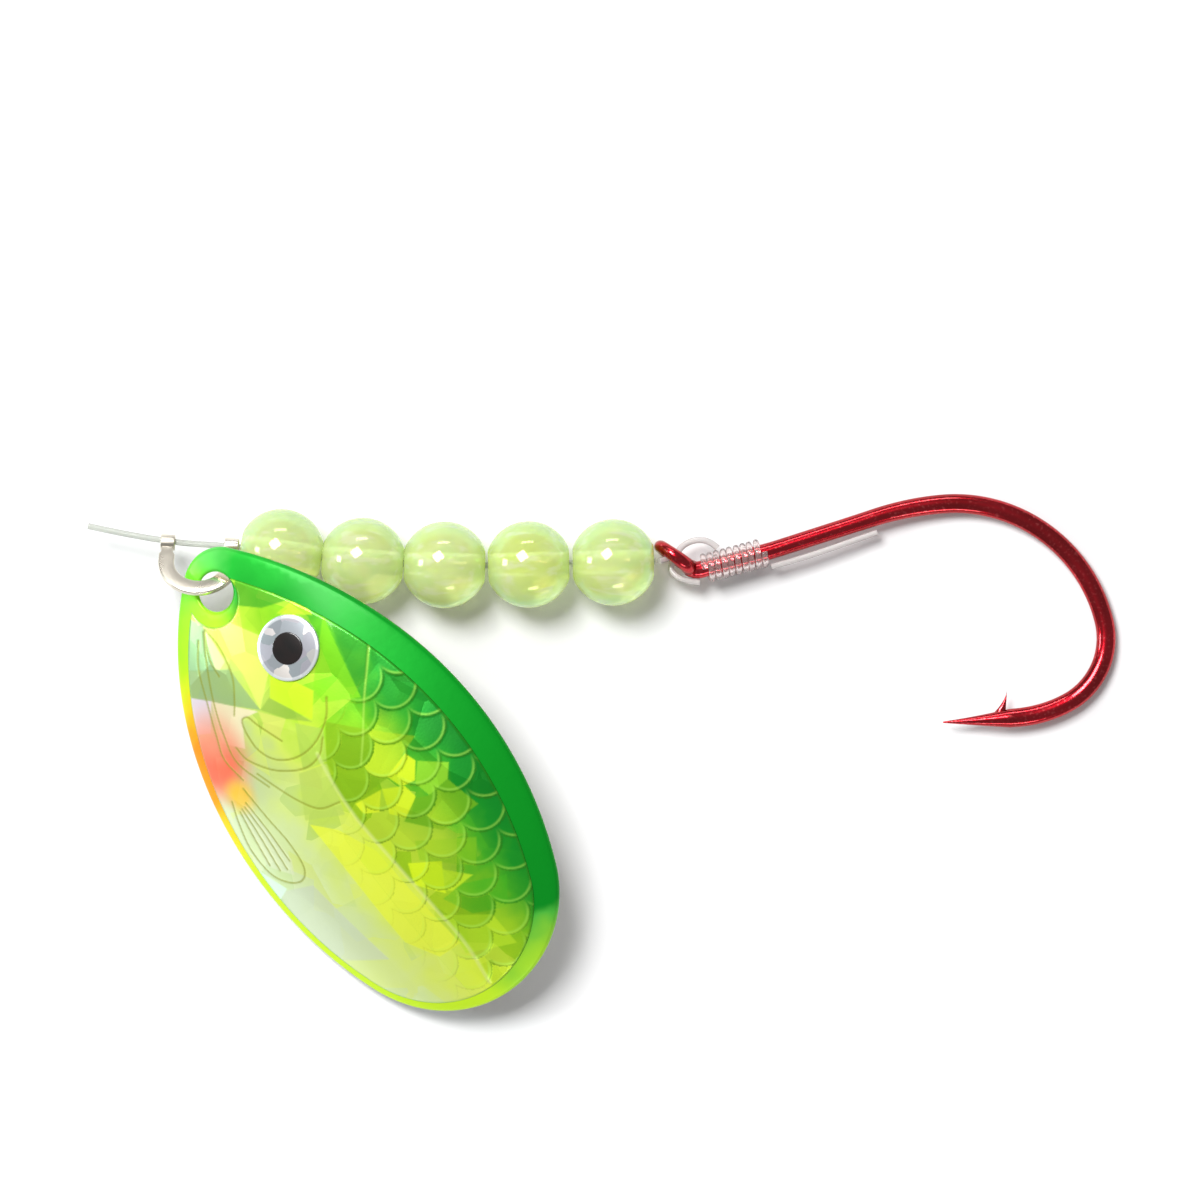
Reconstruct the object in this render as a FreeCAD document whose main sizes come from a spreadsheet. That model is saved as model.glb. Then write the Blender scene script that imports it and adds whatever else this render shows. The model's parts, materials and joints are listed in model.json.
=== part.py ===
import FreeCAD, Part
import math
import os
import Sketcher
from FreeCAD import Placement, Rotation, Vector

# A fishing spinner rig lying flat: a leader of clear line carries a clevis with its blade and five
# beads, and ends at a snelled hook. Millimetres, +Z up, the resting surface is Z = 0 and the origin
# is under the middle of the rig. +X runs along the line towards the hook.

doc = FreeCAD.newDocument("spinner_rig")
sheet = doc.addObject("Spreadsheet::Sheet", "Sizes")

SIZES = [
    ("line_diameter", 0.42, "clear monofilament, about 9 kg test"),
    ("bead_diameter", 6.0, "round bead across its middle"),
    ("bead_flat", 2.5, "flat round pole at each end of a bead"),
    ("bead_bore", 1.2, "hole through a bead"),
    ("clevis_radius", 2.75, "outer radius of the clevis's curved strip"),
    ("clevis_band", 1.1, "width of the flat strip"),
    ("clevis_sheet", 0.42, "thickness of the strip"),
    ("clevis_leg", 1.65, "straight leg from the curve's centre to the line"),
    ("clevis_lift", 38.0, "how far the clevis stands up from the surface, degrees"),
    ("barrel_diameter", 1.1, "barrel that holds the clevis on the line"),
    ("barrel_length", 1.0, "length of one barrel"),
    ("barrel_bore", 0.72, "hole through a barrel"),
    ("blade_tip_radius", 2.9, "rounding of the blade's tip"),
    ("blade_end_radius", 9.0, "rounding of the blade's broad end"),
    ("blade_side_radius", 27.4, "long curve of the blade's sides"),
    ("blade_half_width", 10.5, "half the blade's greatest width"),
    ("blade_sheet", 0.45, "thickness of the blade's brass sheet"),
    ("blade_cup", 3.0, "height of the blade's crown over its rim"),
    ("blade_long_curve", 58.0, "crown radius along the blade"),
    ("blade_cross_curve", 19.9, "crown radius across the blade"),
    ("blade_heading", -55.0, "direction of the blade's length on the surface, degrees"),
    ("blade_pitch", 1.0, "how far the broad end dips, degrees"),
    ("blade_roll", 21.0, "how far the back edge is raised, degrees"),
    ("hole_diameter", 2.7, "clevis hole in the blade"),
    ("hole_inset", 2.8, "from the tip to the hole's centre"),
    ("hole_across", -0.35, "hole's centre from the blade's middle line"),
    ("foil_sheet", 0.06, "thickness of the holographic foil"),
    ("foil_side_inset", 1.25, "how much smaller the foil is than the blade at the sides"),
    ("foil_shift", 0.6, "foil's shift towards the belly edge"),
    ("foil_ahead", 0.3, "foil's shift towards the broad end"),
    ("foil_bite", 3.8, "round bite out of the foil beside the clevis hole"),
    ("foil_bite_along", 3.1, "from the tip to the bite's centre"),
    ("foil_bite_across", -0.75, "bite's centre from the blade's middle line"),
    ("eye_diameter", 4.5, "silver stick-on eye"),
    ("eye_height", 0.2, "thickness of the eye"),
    ("eye_along", 8.8, "eye's centre from the blade's tip"),
    ("eye_across", 2.3, "eye's centre from the blade's middle line"),
    ("pupil_diameter", 2.2, "black pupil"),
    ("pupil_height", 0.08, "thickness of the pupil"),
    ("hook_wire", 1.2, "hook's wire"),
    ("hook_eye_wire", 0.92, "wire of the hook's eye"),
    ("hook_eye_radius", 1.24, "middle radius of the hook's eye"),
    ("hook_eye_turn", -36.0, "direction of the turned-up eye in the hook's plane, degrees"),
    ("hook_tilt", 3.0, "slope of the hook down from its eye, degrees"),
    ("hook_tilt_heading", 26.6, "direction in which the hook slopes down, degrees"),
    ("point_length", 4.6, "tapered point of the hook"),
    ("point_radius", 0.06, "radius left at the very point"),
    ("barb_thickness", 0.4, "thickness of the barb"),
    ("barb_setback", 1.0, "from the start of the taper to the barb's root"),
    ("barb_sink", 0.15, "how far the barb's base line lies off the wire's middle"),
    ("barb_behind", 0.75, "length of the barb's base behind its root"),
    ("barb_ahead", 0.45, "length of the barb's base ahead of its root"),
    ("barb_lean", 1.0, "how far back the barb's tip leans from its root"),
    ("barb_rise", 1.75, "height of the barb's tip over its base line"),
    ("wrap_turns", 9, "turns of line in the snell"),
    ("wrap_pitch", 0.475, "distance from one turn to the next"),
    ("wrap_gap", 0.02, "clearance between the turns and the shank"),
    ("wrap_lead", 0.05, "bare shank before the first turn"),
]

for row, (alias, number, note) in enumerate(SIZES, start=1):
    sheet.set(f"A{row}", alias)
    sheet.set(f"B{row}", str(number))
    sheet.setAlias(f"B{row}", alias)
    sheet.set(f"C{row}", note)
doc.recompute()


def size(alias):
    return float(sheet.get(alias))


# The leader's route from its cut end to the hook's eye. A bead sits on the middle of each of the
# last five runs, and the clevis on the run before them.
LEADER_ROUTE = [
    Vector(-37.90, 15.72, 2.80),
    Vector(-32.98, 14.63, 2.98),
    Vector(-27.40, 14.30, 3.00),
    Vector(-21.74, 13.52, 3.00),
    Vector(-16.16, 13.10, 3.00),
    Vector(-10.45, 12.98, 3.00),
    Vector(-4.57, 13.16, 3.00),
    Vector(1.23, 13.27, 3.00),
]
CLEVIS_RUN = 1
FIRST_BEAD_RUN = 2
BEADS = 5
HOOK_PIVOT = Vector(1.47, 13.28, 3.00)
EYE_CENTRE = Vector(2.58, 13.59, 1.90)
BLADE_TIP = Vector(-30.16, 13.80, 4.74)

# The hook's wire from its eye: each step is a straight length or an arc with its radius and turn.
HOOK_STEPS = [
    ("arc", 0.90, 51.0),
    ("line", 4.50),
    ("arc", 25.0, 2.8),
    ("line", 6.91),
    ("arc", 20.7, -13.4),
    ("arc", 10.63, -80.6),
    ("arc", 5.07, -75.7),
    ("arc", 9.0, -23.4),
    ("line", 0.55),
]
WRAP_STEP = 1

# The snell's strands in the hook's frame, X and Y in its plane and Z out of it. The loop starts at
# HOOK_PIVOT, where the leader hinges.
LOOP_POINTS = [
    Vector(-0.02, 0.00, 0.22),
    Vector(0.50, 0.80, 0.02),
    Vector(1.45, 1.22, 0.00),
    Vector(2.45, 1.10, 0.00),
    Vector(2.95, 0.62, 0.00),
]
EYE_STRAND_POINTS = [
    Vector(0.18, 0.10, -0.38),
    Vector(-0.38, -0.62, -0.36),
    Vector(-0.02, -1.30, -0.20),
    Vector(0.90, -1.68, -0.05),
    Vector(1.72, -1.76, 0.00),
]
TAG_END_POINTS = [
    Vector(6.66, -0.66, -0.02),
    Vector(8.60, -0.14, -0.02),
    Vector(11.50, 0.84, 0.04),
    Vector(14.00, 1.72, 0.00),
]
BEND_SHARE = 0.45  # how much of its shorter run a bend may take up on each side of its corner

nodes = {}


def bind(obj, **links):
    for name, expression in links.items():
        obj.setExpression(name, expression)
    return obj


def add(kind, name, **links):
    return bind(doc.addObject(kind, name), **links)


def finish(obj, label, placement=None):
    """Gives a finished sub-part its node name and its place in the rig."""
    if placement is not None:
        obj.Placement = placement
    obj.Label = label
    nodes[label] = obj
    return obj


def cut(name, base, tool):
    obj = doc.addObject("Part::Cut", name)
    obj.Base = base
    obj.Tool = tool
    return obj


def common(name, base, tool):
    obj = doc.addObject("Part::Common", name)
    obj.Base = base
    obj.Tool = tool
    return obj


def fuse(name, shapes):
    obj = doc.addObject("Part::MultiFuse", name)
    obj.Shapes = shapes
    return obj


def along(direction):
    """The rotation that lays local +Z along a direction."""
    return Rotation(Vector(0, 0, 1), direction)


def rounded_wire(name, points):
    """A wire of straight runs joined by arcs, each as large as its two runs allow."""
    edges = []
    radii = []
    start = points[0]
    for before, corner, after in zip(points, points[1:], points[2:]):
        back = (before - corner).normalize()
        onward = (after - corner).normalize()
        shorter = min((before - corner).Length, (after - corner).Length)
        reach = BEND_SHARE * shorter
        half_turn = (math.pi - back.getAngle(onward)) / 2
        radius = reach / math.tan(half_turn)
        radii.append(round(radius, 2))
        first = corner + back * reach
        last = corner + onward * reach
        middle = (back + onward).normalize()
        inner = corner + middle * (radius / math.cos(half_turn) - radius)
        edges.append(Part.LineSegment(start, first).toShape())
        edges.append(Part.Arc(first, inner, last).toShape())
        start = last
    edges.append(Part.LineSegment(start, points[-1]).toShape())
    path = doc.addObject("Part::Feature", name)
    path.Shape = Part.Wire(edges)
    print(name, "radii", radii)
    return path


def swept_round(name, path, diameter):
    """A round bar of a sheet diameter along a wire."""
    first = path.Shape.Edges[0]
    circle = add("Part::Circle", name + "_circle", Radius=f"Sizes.{diameter} / 2")
    start = first.FirstParameter
    circle.Placement = Placement(first.valueAt(start), along(first.tangentAt(start)))
    bar = doc.addObject("Part::Sweep", name)
    bar.Sections = [circle]
    bar.Spine = (path, [f"Edge{i + 1}" for i in range(len(path.Shape.Edges))])
    bar.Solid = True
    bar.Frenet = False
    doc.recompute()
    expected = math.pi * size(diameter) ** 2 / 4 * path.Shape.Length
    print(name, "volume", round(bar.Shape.Volume, 3), "section x length", round(expected, 3))
    return bar


# --- Leader and beads -------------------------------------------------------------------------


def run_middle(index):
    return (LEADER_ROUTE[index] + LEADER_ROUTE[index + 1]) * 0.5


def run_direction(index):
    return (LEADER_ROUTE[index + 1] - LEADER_ROUTE[index]).normalize()


def make_leader():
    path = rounded_wire("leader_path", LEADER_ROUTE)
    return finish(swept_round("leader_tube", path, "line_diameter"), "leader")


def make_bead(number):
    """A round bead with flat poles and a bore along the line."""
    run = FIRST_BEAD_RUN + number - 1
    ball = add("Part::Sphere", f"ball_{number}", Radius="Sizes.bead_diameter / 2")
    bind(ball, Angle1="-acos(Sizes.bead_flat / Sizes.bead_diameter)")
    bind(ball, Angle2="acos(Sizes.bead_flat / Sizes.bead_diameter)")
    bore = add("Part::Cylinder", f"bore_{number}", Radius="Sizes.bead_bore / 2", Height="Sizes.bead_diameter")
    bore.Placement.Base = Vector(0, 0, -size("bead_diameter") / 2)
    bead = cut(f"bead_{number}_cut", ball, bore)
    return finish(bead, f"bead_{number}", Placement(run_middle(run), along(run_direction(run))))


# --- Clevis -----------------------------------------------------------------------------------


def make_clevis():
    """A flat horseshoe whose two legs end in barrels round the line. Locally the line is the X axis."""
    leg = size("clevis_leg")
    radius = size("clevis_radius")
    outer_disc = add("Part::Cylinder", "clevis_outer", Height="Sizes.clevis_sheet")
    bind(outer_disc, Radius="Sizes.clevis_radius")
    inner_disc = add("Part::Cylinder", "clevis_inner", Height="Sizes.clevis_sheet")
    bind(inner_disc, Radius="Sizes.clevis_radius - Sizes.clevis_band")
    ring = cut("clevis_ring", outer_disc, inner_disc)
    upper_half = add("Part::Box", "clevis_upper_half", Height="Sizes.clevis_sheet")
    bind(upper_half, Width="Sizes.clevis_radius", Length="2 * Sizes.clevis_radius")
    upper_half.Placement.Base = Vector(-radius, 0, 0)
    curve = cut("clevis_curve", ring, upper_half)
    base = Vector(0, -leg, -size("clevis_sheet") / 2)
    curve.Placement.Base = base
    pieces = [curve]
    barrels = []
    for side, corner in (("left", -radius), ("right", radius - size("clevis_band"))):
        strip = add("Part::Box", f"clevis_{side}_leg", Length="Sizes.clevis_band", Width="Sizes.clevis_leg")
        bind(strip, Height="Sizes.clevis_sheet")
        strip.Placement.Base = base + Vector(corner, 0, 0)
        barrel = add("Part::Cylinder", f"clevis_{side}_barrel", Radius="Sizes.barrel_diameter / 2")
        bind(barrel, Height="Sizes.barrel_length")
        middle = corner + size("clevis_band") / 2
        start = Vector(middle - size("barrel_length") / 2, 0, 0)
        barrel.Placement = Placement(start, along(Vector(1, 0, 0)))
        pieces.append(strip)
        barrels.append(barrel)
    solid = fuse("clevis_solid", pieces + barrels)
    bore = add("Part::Cylinder", "clevis_bore", Radius="Sizes.barrel_bore / 2")
    bind(bore, Height="4 * Sizes.clevis_radius")
    bore.Placement = Placement(Vector(-2 * radius, 0, 0), along(Vector(1, 0, 0)))
    clevis = cut("clevis_cut", solid, bore)
    rotation = Rotation(Vector(1, 0, 0), run_direction(CLEVIS_RUN))
    rotation = rotation * Rotation(Vector(1, 0, 0), -size("clevis_lift"))
    return finish(clevis, "clevis", Placement(run_middle(CLEVIS_RUN), rotation))


# --- Blade, foil and eye ----------------------------------------------------------------------


def blade_placement():
    rotation = Rotation(Vector(0, 0, 1), size("blade_heading"))
    rotation = rotation * Rotation(Vector(0, 1, 0), size("blade_pitch"))
    rotation = rotation * Rotation(Vector(1, 0, 0), size("blade_roll"))
    return Placement(BLADE_TIP, rotation)


def oval(inset):
    """The egg-shaped outline of tip, sides and broad end, all tangent, drawn smaller by an inset."""
    tip = size("blade_tip_radius")
    end = size("blade_end_radius")
    side = size("blade_side_radius")
    width = size("blade_half_width")
    to_tip = math.sqrt((width - tip) * (2 * side - tip - width))
    to_end = math.sqrt((width - end) * (2 * side - end - width))
    tip_centre = Vector(tip, 0, 0)
    widest = tip + to_tip
    end_centre = Vector(widest + to_end, 0, 0)
    length = end_centre.x + end
    far = {1: Vector(widest, width - side, 0), -1: Vector(widest, side - width, 0)}
    at_tip = {}
    at_end = {}
    for hand, centre in far.items():
        at_tip[hand] = centre + (tip_centre - centre).normalize() * (side - inset)
        at_end[hand] = centre + (end_centre - centre).normalize() * (side - inset)
    arcs = [
        (at_tip[-1], Vector(inset, 0, 0), at_tip[1], tip),
        (at_tip[1], Vector(widest, width - inset, 0), at_end[1], side),
        (at_end[1], Vector(length - inset, 0, 0), at_end[-1], end),
        (at_end[-1], Vector(widest, inset - width, 0), at_tip[-1], side),
    ]
    return arcs, length


def outline_body(name, inset, inset_expression, move):
    """A tall prism over the oval, as a body with one sketch and one pad."""
    body = doc.addObject("PartDesign::Body", name)
    sketch = body.newObject("Sketcher::SketchObject", name + "_sketch")
    plane = [f for f in body.Origin.OriginFeatures if f.Role == "XY_Plane"][0]
    sketch.AttachmentSupport = [(plane, "")]
    sketch.MapMode = "FlatFace"
    arcs, length = oval(inset)
    radii = ["blade_tip_radius", "blade_side_radius", "blade_end_radius", "blade_side_radius"]
    for index, (first, middle, last, radius) in enumerate(arcs):
        sketch.addGeometry(Part.Arc(first + move, middle + move, last + move), False)
        row = sketch.addConstraint(Sketcher.Constraint("Radius", index, radius - inset))
        sketch.setExpression(f"Constraints[{row}]", f"Sizes.{radii[index]}{inset_expression}")
    pad = body.newObject("PartDesign::Pad", name + "_pad")
    pad.Profile = sketch
    pad.Midplane = True
    pad.Length = 4 * size("blade_cup")
    body.Tip = pad
    doc.recompute()
    return body


def crown(name, raised, length):
    """A solid whose upper side is the blade's double curve, raised by a height."""
    solid = add("Part::Torus", name, Radius1="Sizes.blade_long_curve - Sizes.blade_cross_curve")
    bind(solid, Radius2=f"Sizes.blade_cross_curve{raised}")
    centre = Vector(length / 2, 0, size("blade_cup") - size("blade_long_curve"))
    solid.Placement = Placement(centre, along(Vector(0, 1, 0)))
    return solid


def skin(name, low, high, length):
    """The layer between two crown heights, each written as a sheet expression."""
    upper = crown(name + "_upper", high, length)
    lower = crown(name + "_lower", low, length)
    return cut(name + "_layer", upper, lower)


def round_tool(name, diameter, centre):
    """A tall round bar through the blade, of a diameter from the sheet."""
    tool = add("Part::Cylinder", name, Radius=f"Sizes.{diameter} / 2", Height="8 * Sizes.blade_cup")
    tool.Placement.Base = Vector(centre[0], centre[1], -4 * size("blade_cup"))
    return tool


def make_blade():
    length = oval(0)[1]
    place = blade_placement()
    surface = ""
    back = " - Sizes.blade_sheet"
    foil_top = " + Sizes.foil_sheet"
    eye_top = foil_top + " + Sizes.eye_height"
    pupil_top = eye_top + " + Sizes.pupil_height"
    hole = (size("hole_inset"), size("hole_across"))
    gaze = (size("eye_along"), size("eye_across"))

    outline = outline_body("blade_outline", 0, "", Vector(0, 0, 0))
    whole = common("blade_whole", outline, skin("blade", back, surface, length))
    blade = cut("blade_cut", whole, round_tool("blade_hole", "hole_diameter", hole))
    finish(blade, "blade", place)

    inset = size("foil_side_inset")
    move = Vector(size("foil_ahead"), -size("foil_shift"), 0)
    outline = outline_body("foil_outline", inset, " - Sizes.foil_side_inset", move)
    layer = common("foil_whole", outline, skin("foil", surface, foil_top, length))
    bite = round_tool("foil_bite", "foil_bite", (size("foil_bite_along"), size("foil_bite_across")))
    finish(cut("foil_cut", layer, bite), "foil", place)

    disc = round_tool("eye_disc", "eye_diameter", gaze)
    finish(common("eye_common", disc, skin("eye", foil_top, eye_top, length)), "eye", place)
    spot = round_tool("pupil_disc", "pupil_diameter", gaze)
    finish(common("pupil_common", spot, skin("pupil", eye_top, pupil_top, length)), "pupil", place)


# --- Hook and snell ---------------------------------------------------------------------------


def hook_placement():
    heading = math.radians(size("hook_tilt_heading"))
    axis = Vector(-math.sin(heading), math.cos(heading), 0)
    return Placement(EYE_CENTRE, Rotation(axis, size("hook_tilt")))


def hook_course():
    """Follows HOOK_STEPS in the hook's plane: the wire's edges and each step's start and heading."""
    heading = math.radians(size("hook_eye_turn"))
    here = Vector(math.cos(heading), math.sin(heading), 0) * size("hook_eye_radius")
    edges = []
    marks = []
    for step in HOOK_STEPS:
        marks.append((here, heading))
        forward = Vector(math.cos(heading), math.sin(heading), 0)
        if step[0] == "line":
            there = here + forward * step[1]
            edges.append(Part.LineSegment(here, there).toShape())
        else:
            turn = math.radians(step[2])
            hand = math.copysign(1, turn)
            centre = here + Vector(-forward.y, forward.x, 0) * step[1] * hand
            stops = []
            for part in (0.5, 1.0):
                angle = heading + turn * part
                stops.append(centre + Vector(math.sin(angle), -math.cos(angle), 0) * step[1] * hand)
            there = stops[1]
            edges.append(Part.Arc(here, stops[0], there).toShape())
            heading = heading + turn
        here = there
    marks.append((here, heading))
    return edges, marks


def make_hook():
    edges, marks = hook_course()
    path = doc.addObject("Part::Feature", "hook_path")
    path.Shape = Part.Wire(edges)
    wire = swept_round("hook_wire_bar", path, "hook_wire")
    knuckle = add("Part::Sphere", "hook_knuckle", Radius="Sizes.hook_wire / 2")
    knuckle.Placement.Base = marks[0][0]
    across = math.radians(size("hook_eye_turn") + 90)
    eye = add("Part::Torus", "hook_eye", Radius1="Sizes.hook_eye_radius", Radius2="Sizes.hook_eye_wire / 2")
    eye.Placement.Rotation = along(Vector(math.cos(across), math.sin(across), 0))
    here, heading = marks[-1]
    point = add("Part::Cone", "hook_point", Radius1="Sizes.hook_wire / 2", Radius2="Sizes.point_radius")
    bind(point, Height="Sizes.point_length")
    forward = Vector(math.cos(heading), math.sin(heading), 0)
    point.Placement = Placement(here, along(forward))
    inward = Vector(forward.y, -forward.x, 0)
    barb = doc.addObject("Part::Extrusion", "hook_barb")
    outline = doc.addObject("Part::Polygon", "hook_barb_outline")
    root = here + forward * size("barb_setback") + inward * size("barb_sink")
    behind = root - forward * size("barb_behind")
    tip = root - forward * size("barb_lean") + inward * size("barb_rise")
    outline.Nodes = [behind, tip, root + forward * size("barb_ahead")]
    outline.Close = True
    barb.Base = outline
    barb.DirMode = "Custom"
    barb.Dir = Vector(0, 0, 1)
    barb.Symmetric = True
    barb.Solid = True
    bind(barb, LengthFwd="Sizes.barb_thickness")
    hook = fuse("hook_fuse", [wire, knuckle, eye, point, barb])
    return finish(hook, "hook", hook_placement())


def make_wraps():
    """The turns of line round the straight stretch of the shank."""
    start, heading = hook_course()[1][WRAP_STEP]
    radius = "(Sizes.hook_wire + Sizes.line_diameter) / 2 + Sizes.wrap_gap"
    coil = add("Part::Helix", "wrap_path", Pitch="Sizes.wrap_pitch", Radius=radius)
    bind(coil, Height="Sizes.wrap_pitch * Sizes.wrap_turns")
    circle = add("Part::Circle", "wrap_circle", Radius="Sizes.line_diameter / 2")
    doc.recompute()
    first = coil.Shape.Edges[0]
    tangent = first.tangentAt(first.FirstParameter)
    circle.Placement = Placement(first.valueAt(first.FirstParameter), along(tangent))
    wraps = doc.addObject("Part::Sweep", "wraps_sweep")
    wraps.Sections = [circle]
    wraps.Spine = (coil, ["Edge1"])
    wraps.Solid = True
    wraps.Frenet = True
    forward = Vector(math.cos(heading), math.sin(heading), 0)
    spot = start + forward * (size("line_diameter") / 2 + size("wrap_lead"))
    local = Placement(spot, along(forward) * Rotation(Vector(0, 0, 1), 90))
    return finish(wraps, "snell_wraps", hook_placement().multiply(local))


def in_hook(point):
    """A point of the rig as the hook's own frame sees it."""
    return hook_placement().inverse().multVec(point)


def make_strand(label, points):
    """A short length of the line, as a smooth bar along its points in the hook's frame."""
    tube = swept_round(label + "_tube", rounded_wire(label + "_path", points), "line_diameter")
    return finish(tube, label, hook_placement())


def make_bait_loop():
    """The arch of line over the eye, with a ball where the leader hinges."""
    points = [in_hook(HOOK_PIVOT)] + LOOP_POINTS
    tube = swept_round("bait_loop_tube", rounded_wire("bait_loop_path", points), "line_diameter")
    ball = add("Part::Sphere", "bait_loop_ball", Radius="Sizes.line_diameter / 2")
    ball.Placement.Base = points[0]
    return finish(fuse("bait_loop_fuse", [tube, ball]), "bait_loop", hook_placement())


make_leader()
for bead_number in range(1, BEADS + 1):
    make_bead(bead_number)
make_clevis()
make_blade()
make_hook()
make_wraps()
make_bait_loop()
make_strand("eye_strand", EYE_STRAND_POINTS)
make_strand("tag_end", TAG_END_POINTS)
doc.recompute()

for item in doc.Objects:
    if "Invalid" in item.State or "Error" in item.State:
        raise RuntimeError(f"{item.Name} failed: {item.State}")
for label, item in nodes.items():
    if item.Shape.isNull() or not item.Shape.isValid() or len(item.Shape.Solids) != 1:
        raise RuntimeError(f"{label} has no single valid solid")

os.makedirs("parts", exist_ok=True)
for label, item in nodes.items():
    item.Shape.exportStep(f"parts/{label}.step")
    print(label, "volume", round(item.Shape.Volume, 3))
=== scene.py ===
import json
import math
import bmesh
import bpy
import numpy as np
from mathutils import Matrix, Vector
from mathutils.geometry import delaunay_2d_cdt


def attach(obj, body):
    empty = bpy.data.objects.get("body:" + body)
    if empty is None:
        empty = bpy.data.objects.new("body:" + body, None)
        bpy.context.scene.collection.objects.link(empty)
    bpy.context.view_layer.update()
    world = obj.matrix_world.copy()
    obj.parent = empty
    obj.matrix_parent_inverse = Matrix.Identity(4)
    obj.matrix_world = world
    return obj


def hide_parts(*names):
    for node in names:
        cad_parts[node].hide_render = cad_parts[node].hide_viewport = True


# A fishing spinner rig lying flat on a pale table: clear line, clevis, fish-print blade, five beads
# and a snelled red hook. Pieces are drawn in millimetres in frames of their own, and their place
# matrices bring them to metres in the frame of the CAD model.

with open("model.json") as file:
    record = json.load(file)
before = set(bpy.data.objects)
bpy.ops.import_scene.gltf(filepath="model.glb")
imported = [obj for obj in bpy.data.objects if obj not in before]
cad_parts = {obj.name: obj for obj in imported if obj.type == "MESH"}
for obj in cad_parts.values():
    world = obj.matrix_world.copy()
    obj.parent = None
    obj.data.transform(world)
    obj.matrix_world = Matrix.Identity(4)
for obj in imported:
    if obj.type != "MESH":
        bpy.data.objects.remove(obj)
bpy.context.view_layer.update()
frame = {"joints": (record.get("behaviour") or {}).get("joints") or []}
joints = {joint["name"]: joint for joint in frame["joints"]}
MM = Matrix.Scale(0.001, 4)

# --- Sizes, in millimetres and degrees ---

LINE_DIAMETER = 0.42
BEAD_COUNT = 5
BEAD_RADIUS = 3.0
BEAD_FLAT_RADIUS = 1.08
BEAD_BORE_RADIUS = 0.6
CLEVIS_RADIUS = 2.75
CLEVIS_BAND = 1.1
CLEVIS_SHEET = 0.42
CLEVIS_LEG = 1.65
CLEVIS_LIFT = 38.0
BARREL_RADIUS = 0.55
BARREL_BORE_RADIUS = 0.36
BARREL_LENGTH = 1.0
NECK_MIDDLE = BARREL_RADIUS + 0.16
NECK_REACH = 0.42
NECK_PINCH = 0.3

BLADE_TIP = (-30.16, 13.80, 4.74)
BLADE_HEADING = -55.0
BLADE_PITCH = 1.0
BLADE_ROLL = 21.0
TIP_RADIUS = 2.9
END_RADIUS = 9.0
SIDE_RADIUS = 27.4
HALF_WIDTH = 10.5
BLADE_SHEET = 0.45
BLADE_ROUNDING = (0.0, 0.017, 0.066, 0.139, 0.225)
BLADE_STEP = 0.22
BLADE_HOLE_STEP = 0.16
BLADE_GRID = 0.42
BLADE_GRID_GAP = 0.12
BLADE_CUP = 3.0
LONG_CURVE = 58.0
CROSS_CURVE = 19.9
HOLE_CENTRE = (2.8, -0.35)
HOLE_RADIUS = 1.35
FOIL_SHEET = 0.06
FOIL_INSET = 1.25
FOIL_MOVE = (0.3, -0.6)
FOIL_BITE_CENTRE = (3.1, -0.75)
FOIL_BITE_RADIUS = 1.9
FOIL_ROUNDING = (0.0, 0.04, 0.10)
FOIL_STEP = 0.085
FOIL_GRID = 0.09
FOIL_GRID_GAP = 0.04
FOIL_LIFT = 0.004
FOIL_SUNK = 0.01
EYE_CENTRE = (8.8, 2.3)
EYE_RADIUS = 2.25
EYE_HEIGHT = 0.2
PUPIL_RADIUS = 1.1
PUPIL_HEIGHT = 0.08

HOOK_EYE_CENTRE = (2.58, 13.59, 1.90)
HOOK_TILT = 3.0
HOOK_TILT_HEADING = 26.6
HOOK_WIRE_RADIUS = 0.60
FORGED_HALF_WIDTH = 0.67
FORGED_HALF_THICKNESS = 0.56
FORGED_RISE = (11.0, 19.0)
FORGED_FADE = 2
FORGED_TIP = 1
HOOK_EYE_RADIUS = 1.24
HOOK_EYE_WIRE_RADIUS = 0.46
HOOK_EYE_TURN = -36.0
HOOK_EYE_SWEEP = (0, 120, 343)
HOOK_EYE_TAPER = (HOOK_WIRE_RADIUS * 0.94, HOOK_EYE_WIRE_RADIUS * 0.96, HOOK_EYE_WIRE_RADIUS * 0.9)
HOOK_STEPS = [
    ("arc", 0.90, 51.0), ("line", 4.50), ("arc", 25.0, 2.8), ("line", 6.91), ("arc", 20.7, -13.4),
    ("arc", 10.63, -80.6), ("arc", 5.07, -75.7), ("arc", 9.0, -23.4), ("line", 0.55),
]
LINE_STEP = 0.3
ARC_STEP = 0.25
POINT_LENGTH = 4.6
POINT_RADIUS = 0.05
POINT_CURL = 0.10
BARB_HEIGHTS = (0.25, 1.92)
BARB_LENGTH = 1.05
BARB_HALF_THICKNESS = 0.20
BARB_LEAN = 0.24
WRAP_TURNS = 9
WRAP_PITCH = 0.475
WRAP_RADIUS = 0.83
WRAP_START = 0.26

# The leader's route, repeated from the CAD model, in metres.
LEADER_ROUTE = [
    (-0.03790, 0.01572, 0.00280),
    (-0.03298, 0.01463, 0.00298),
    (-0.02740, 0.01430, 0.00300),
    (-0.02174, 0.01352, 0.00300),
    (-0.01616, 0.01310, 0.00300),
    (-0.01045, 0.01298, 0.00300),
    (-0.00457, 0.01316, 0.00300),
    (0.00123, 0.01327, 0.00300),
]

# --- Camera, light and table, in metres and watts ---

CAMERA_PLACE = (-0.00259, 0.01062, 0.6927)
WORLD_STRENGTH = 0.27
TABLE_HALF = 1.2


def make_object(name, data):
    """Puts a mesh, curve, light or camera into the scene."""
    made = bpy.data.objects.new(name, data)
    bpy.context.scene.collection.objects.link(made)
    return made


def make_camera():
    """Looks straight down at the rig, with the hook to the right and the blade below the line."""
    camera = make_object("camera", bpy.data.cameras.new("camera"))
    camera.data.lens = 300
    camera.location = CAMERA_PLACE
    bpy.context.scene.camera = camera


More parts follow.
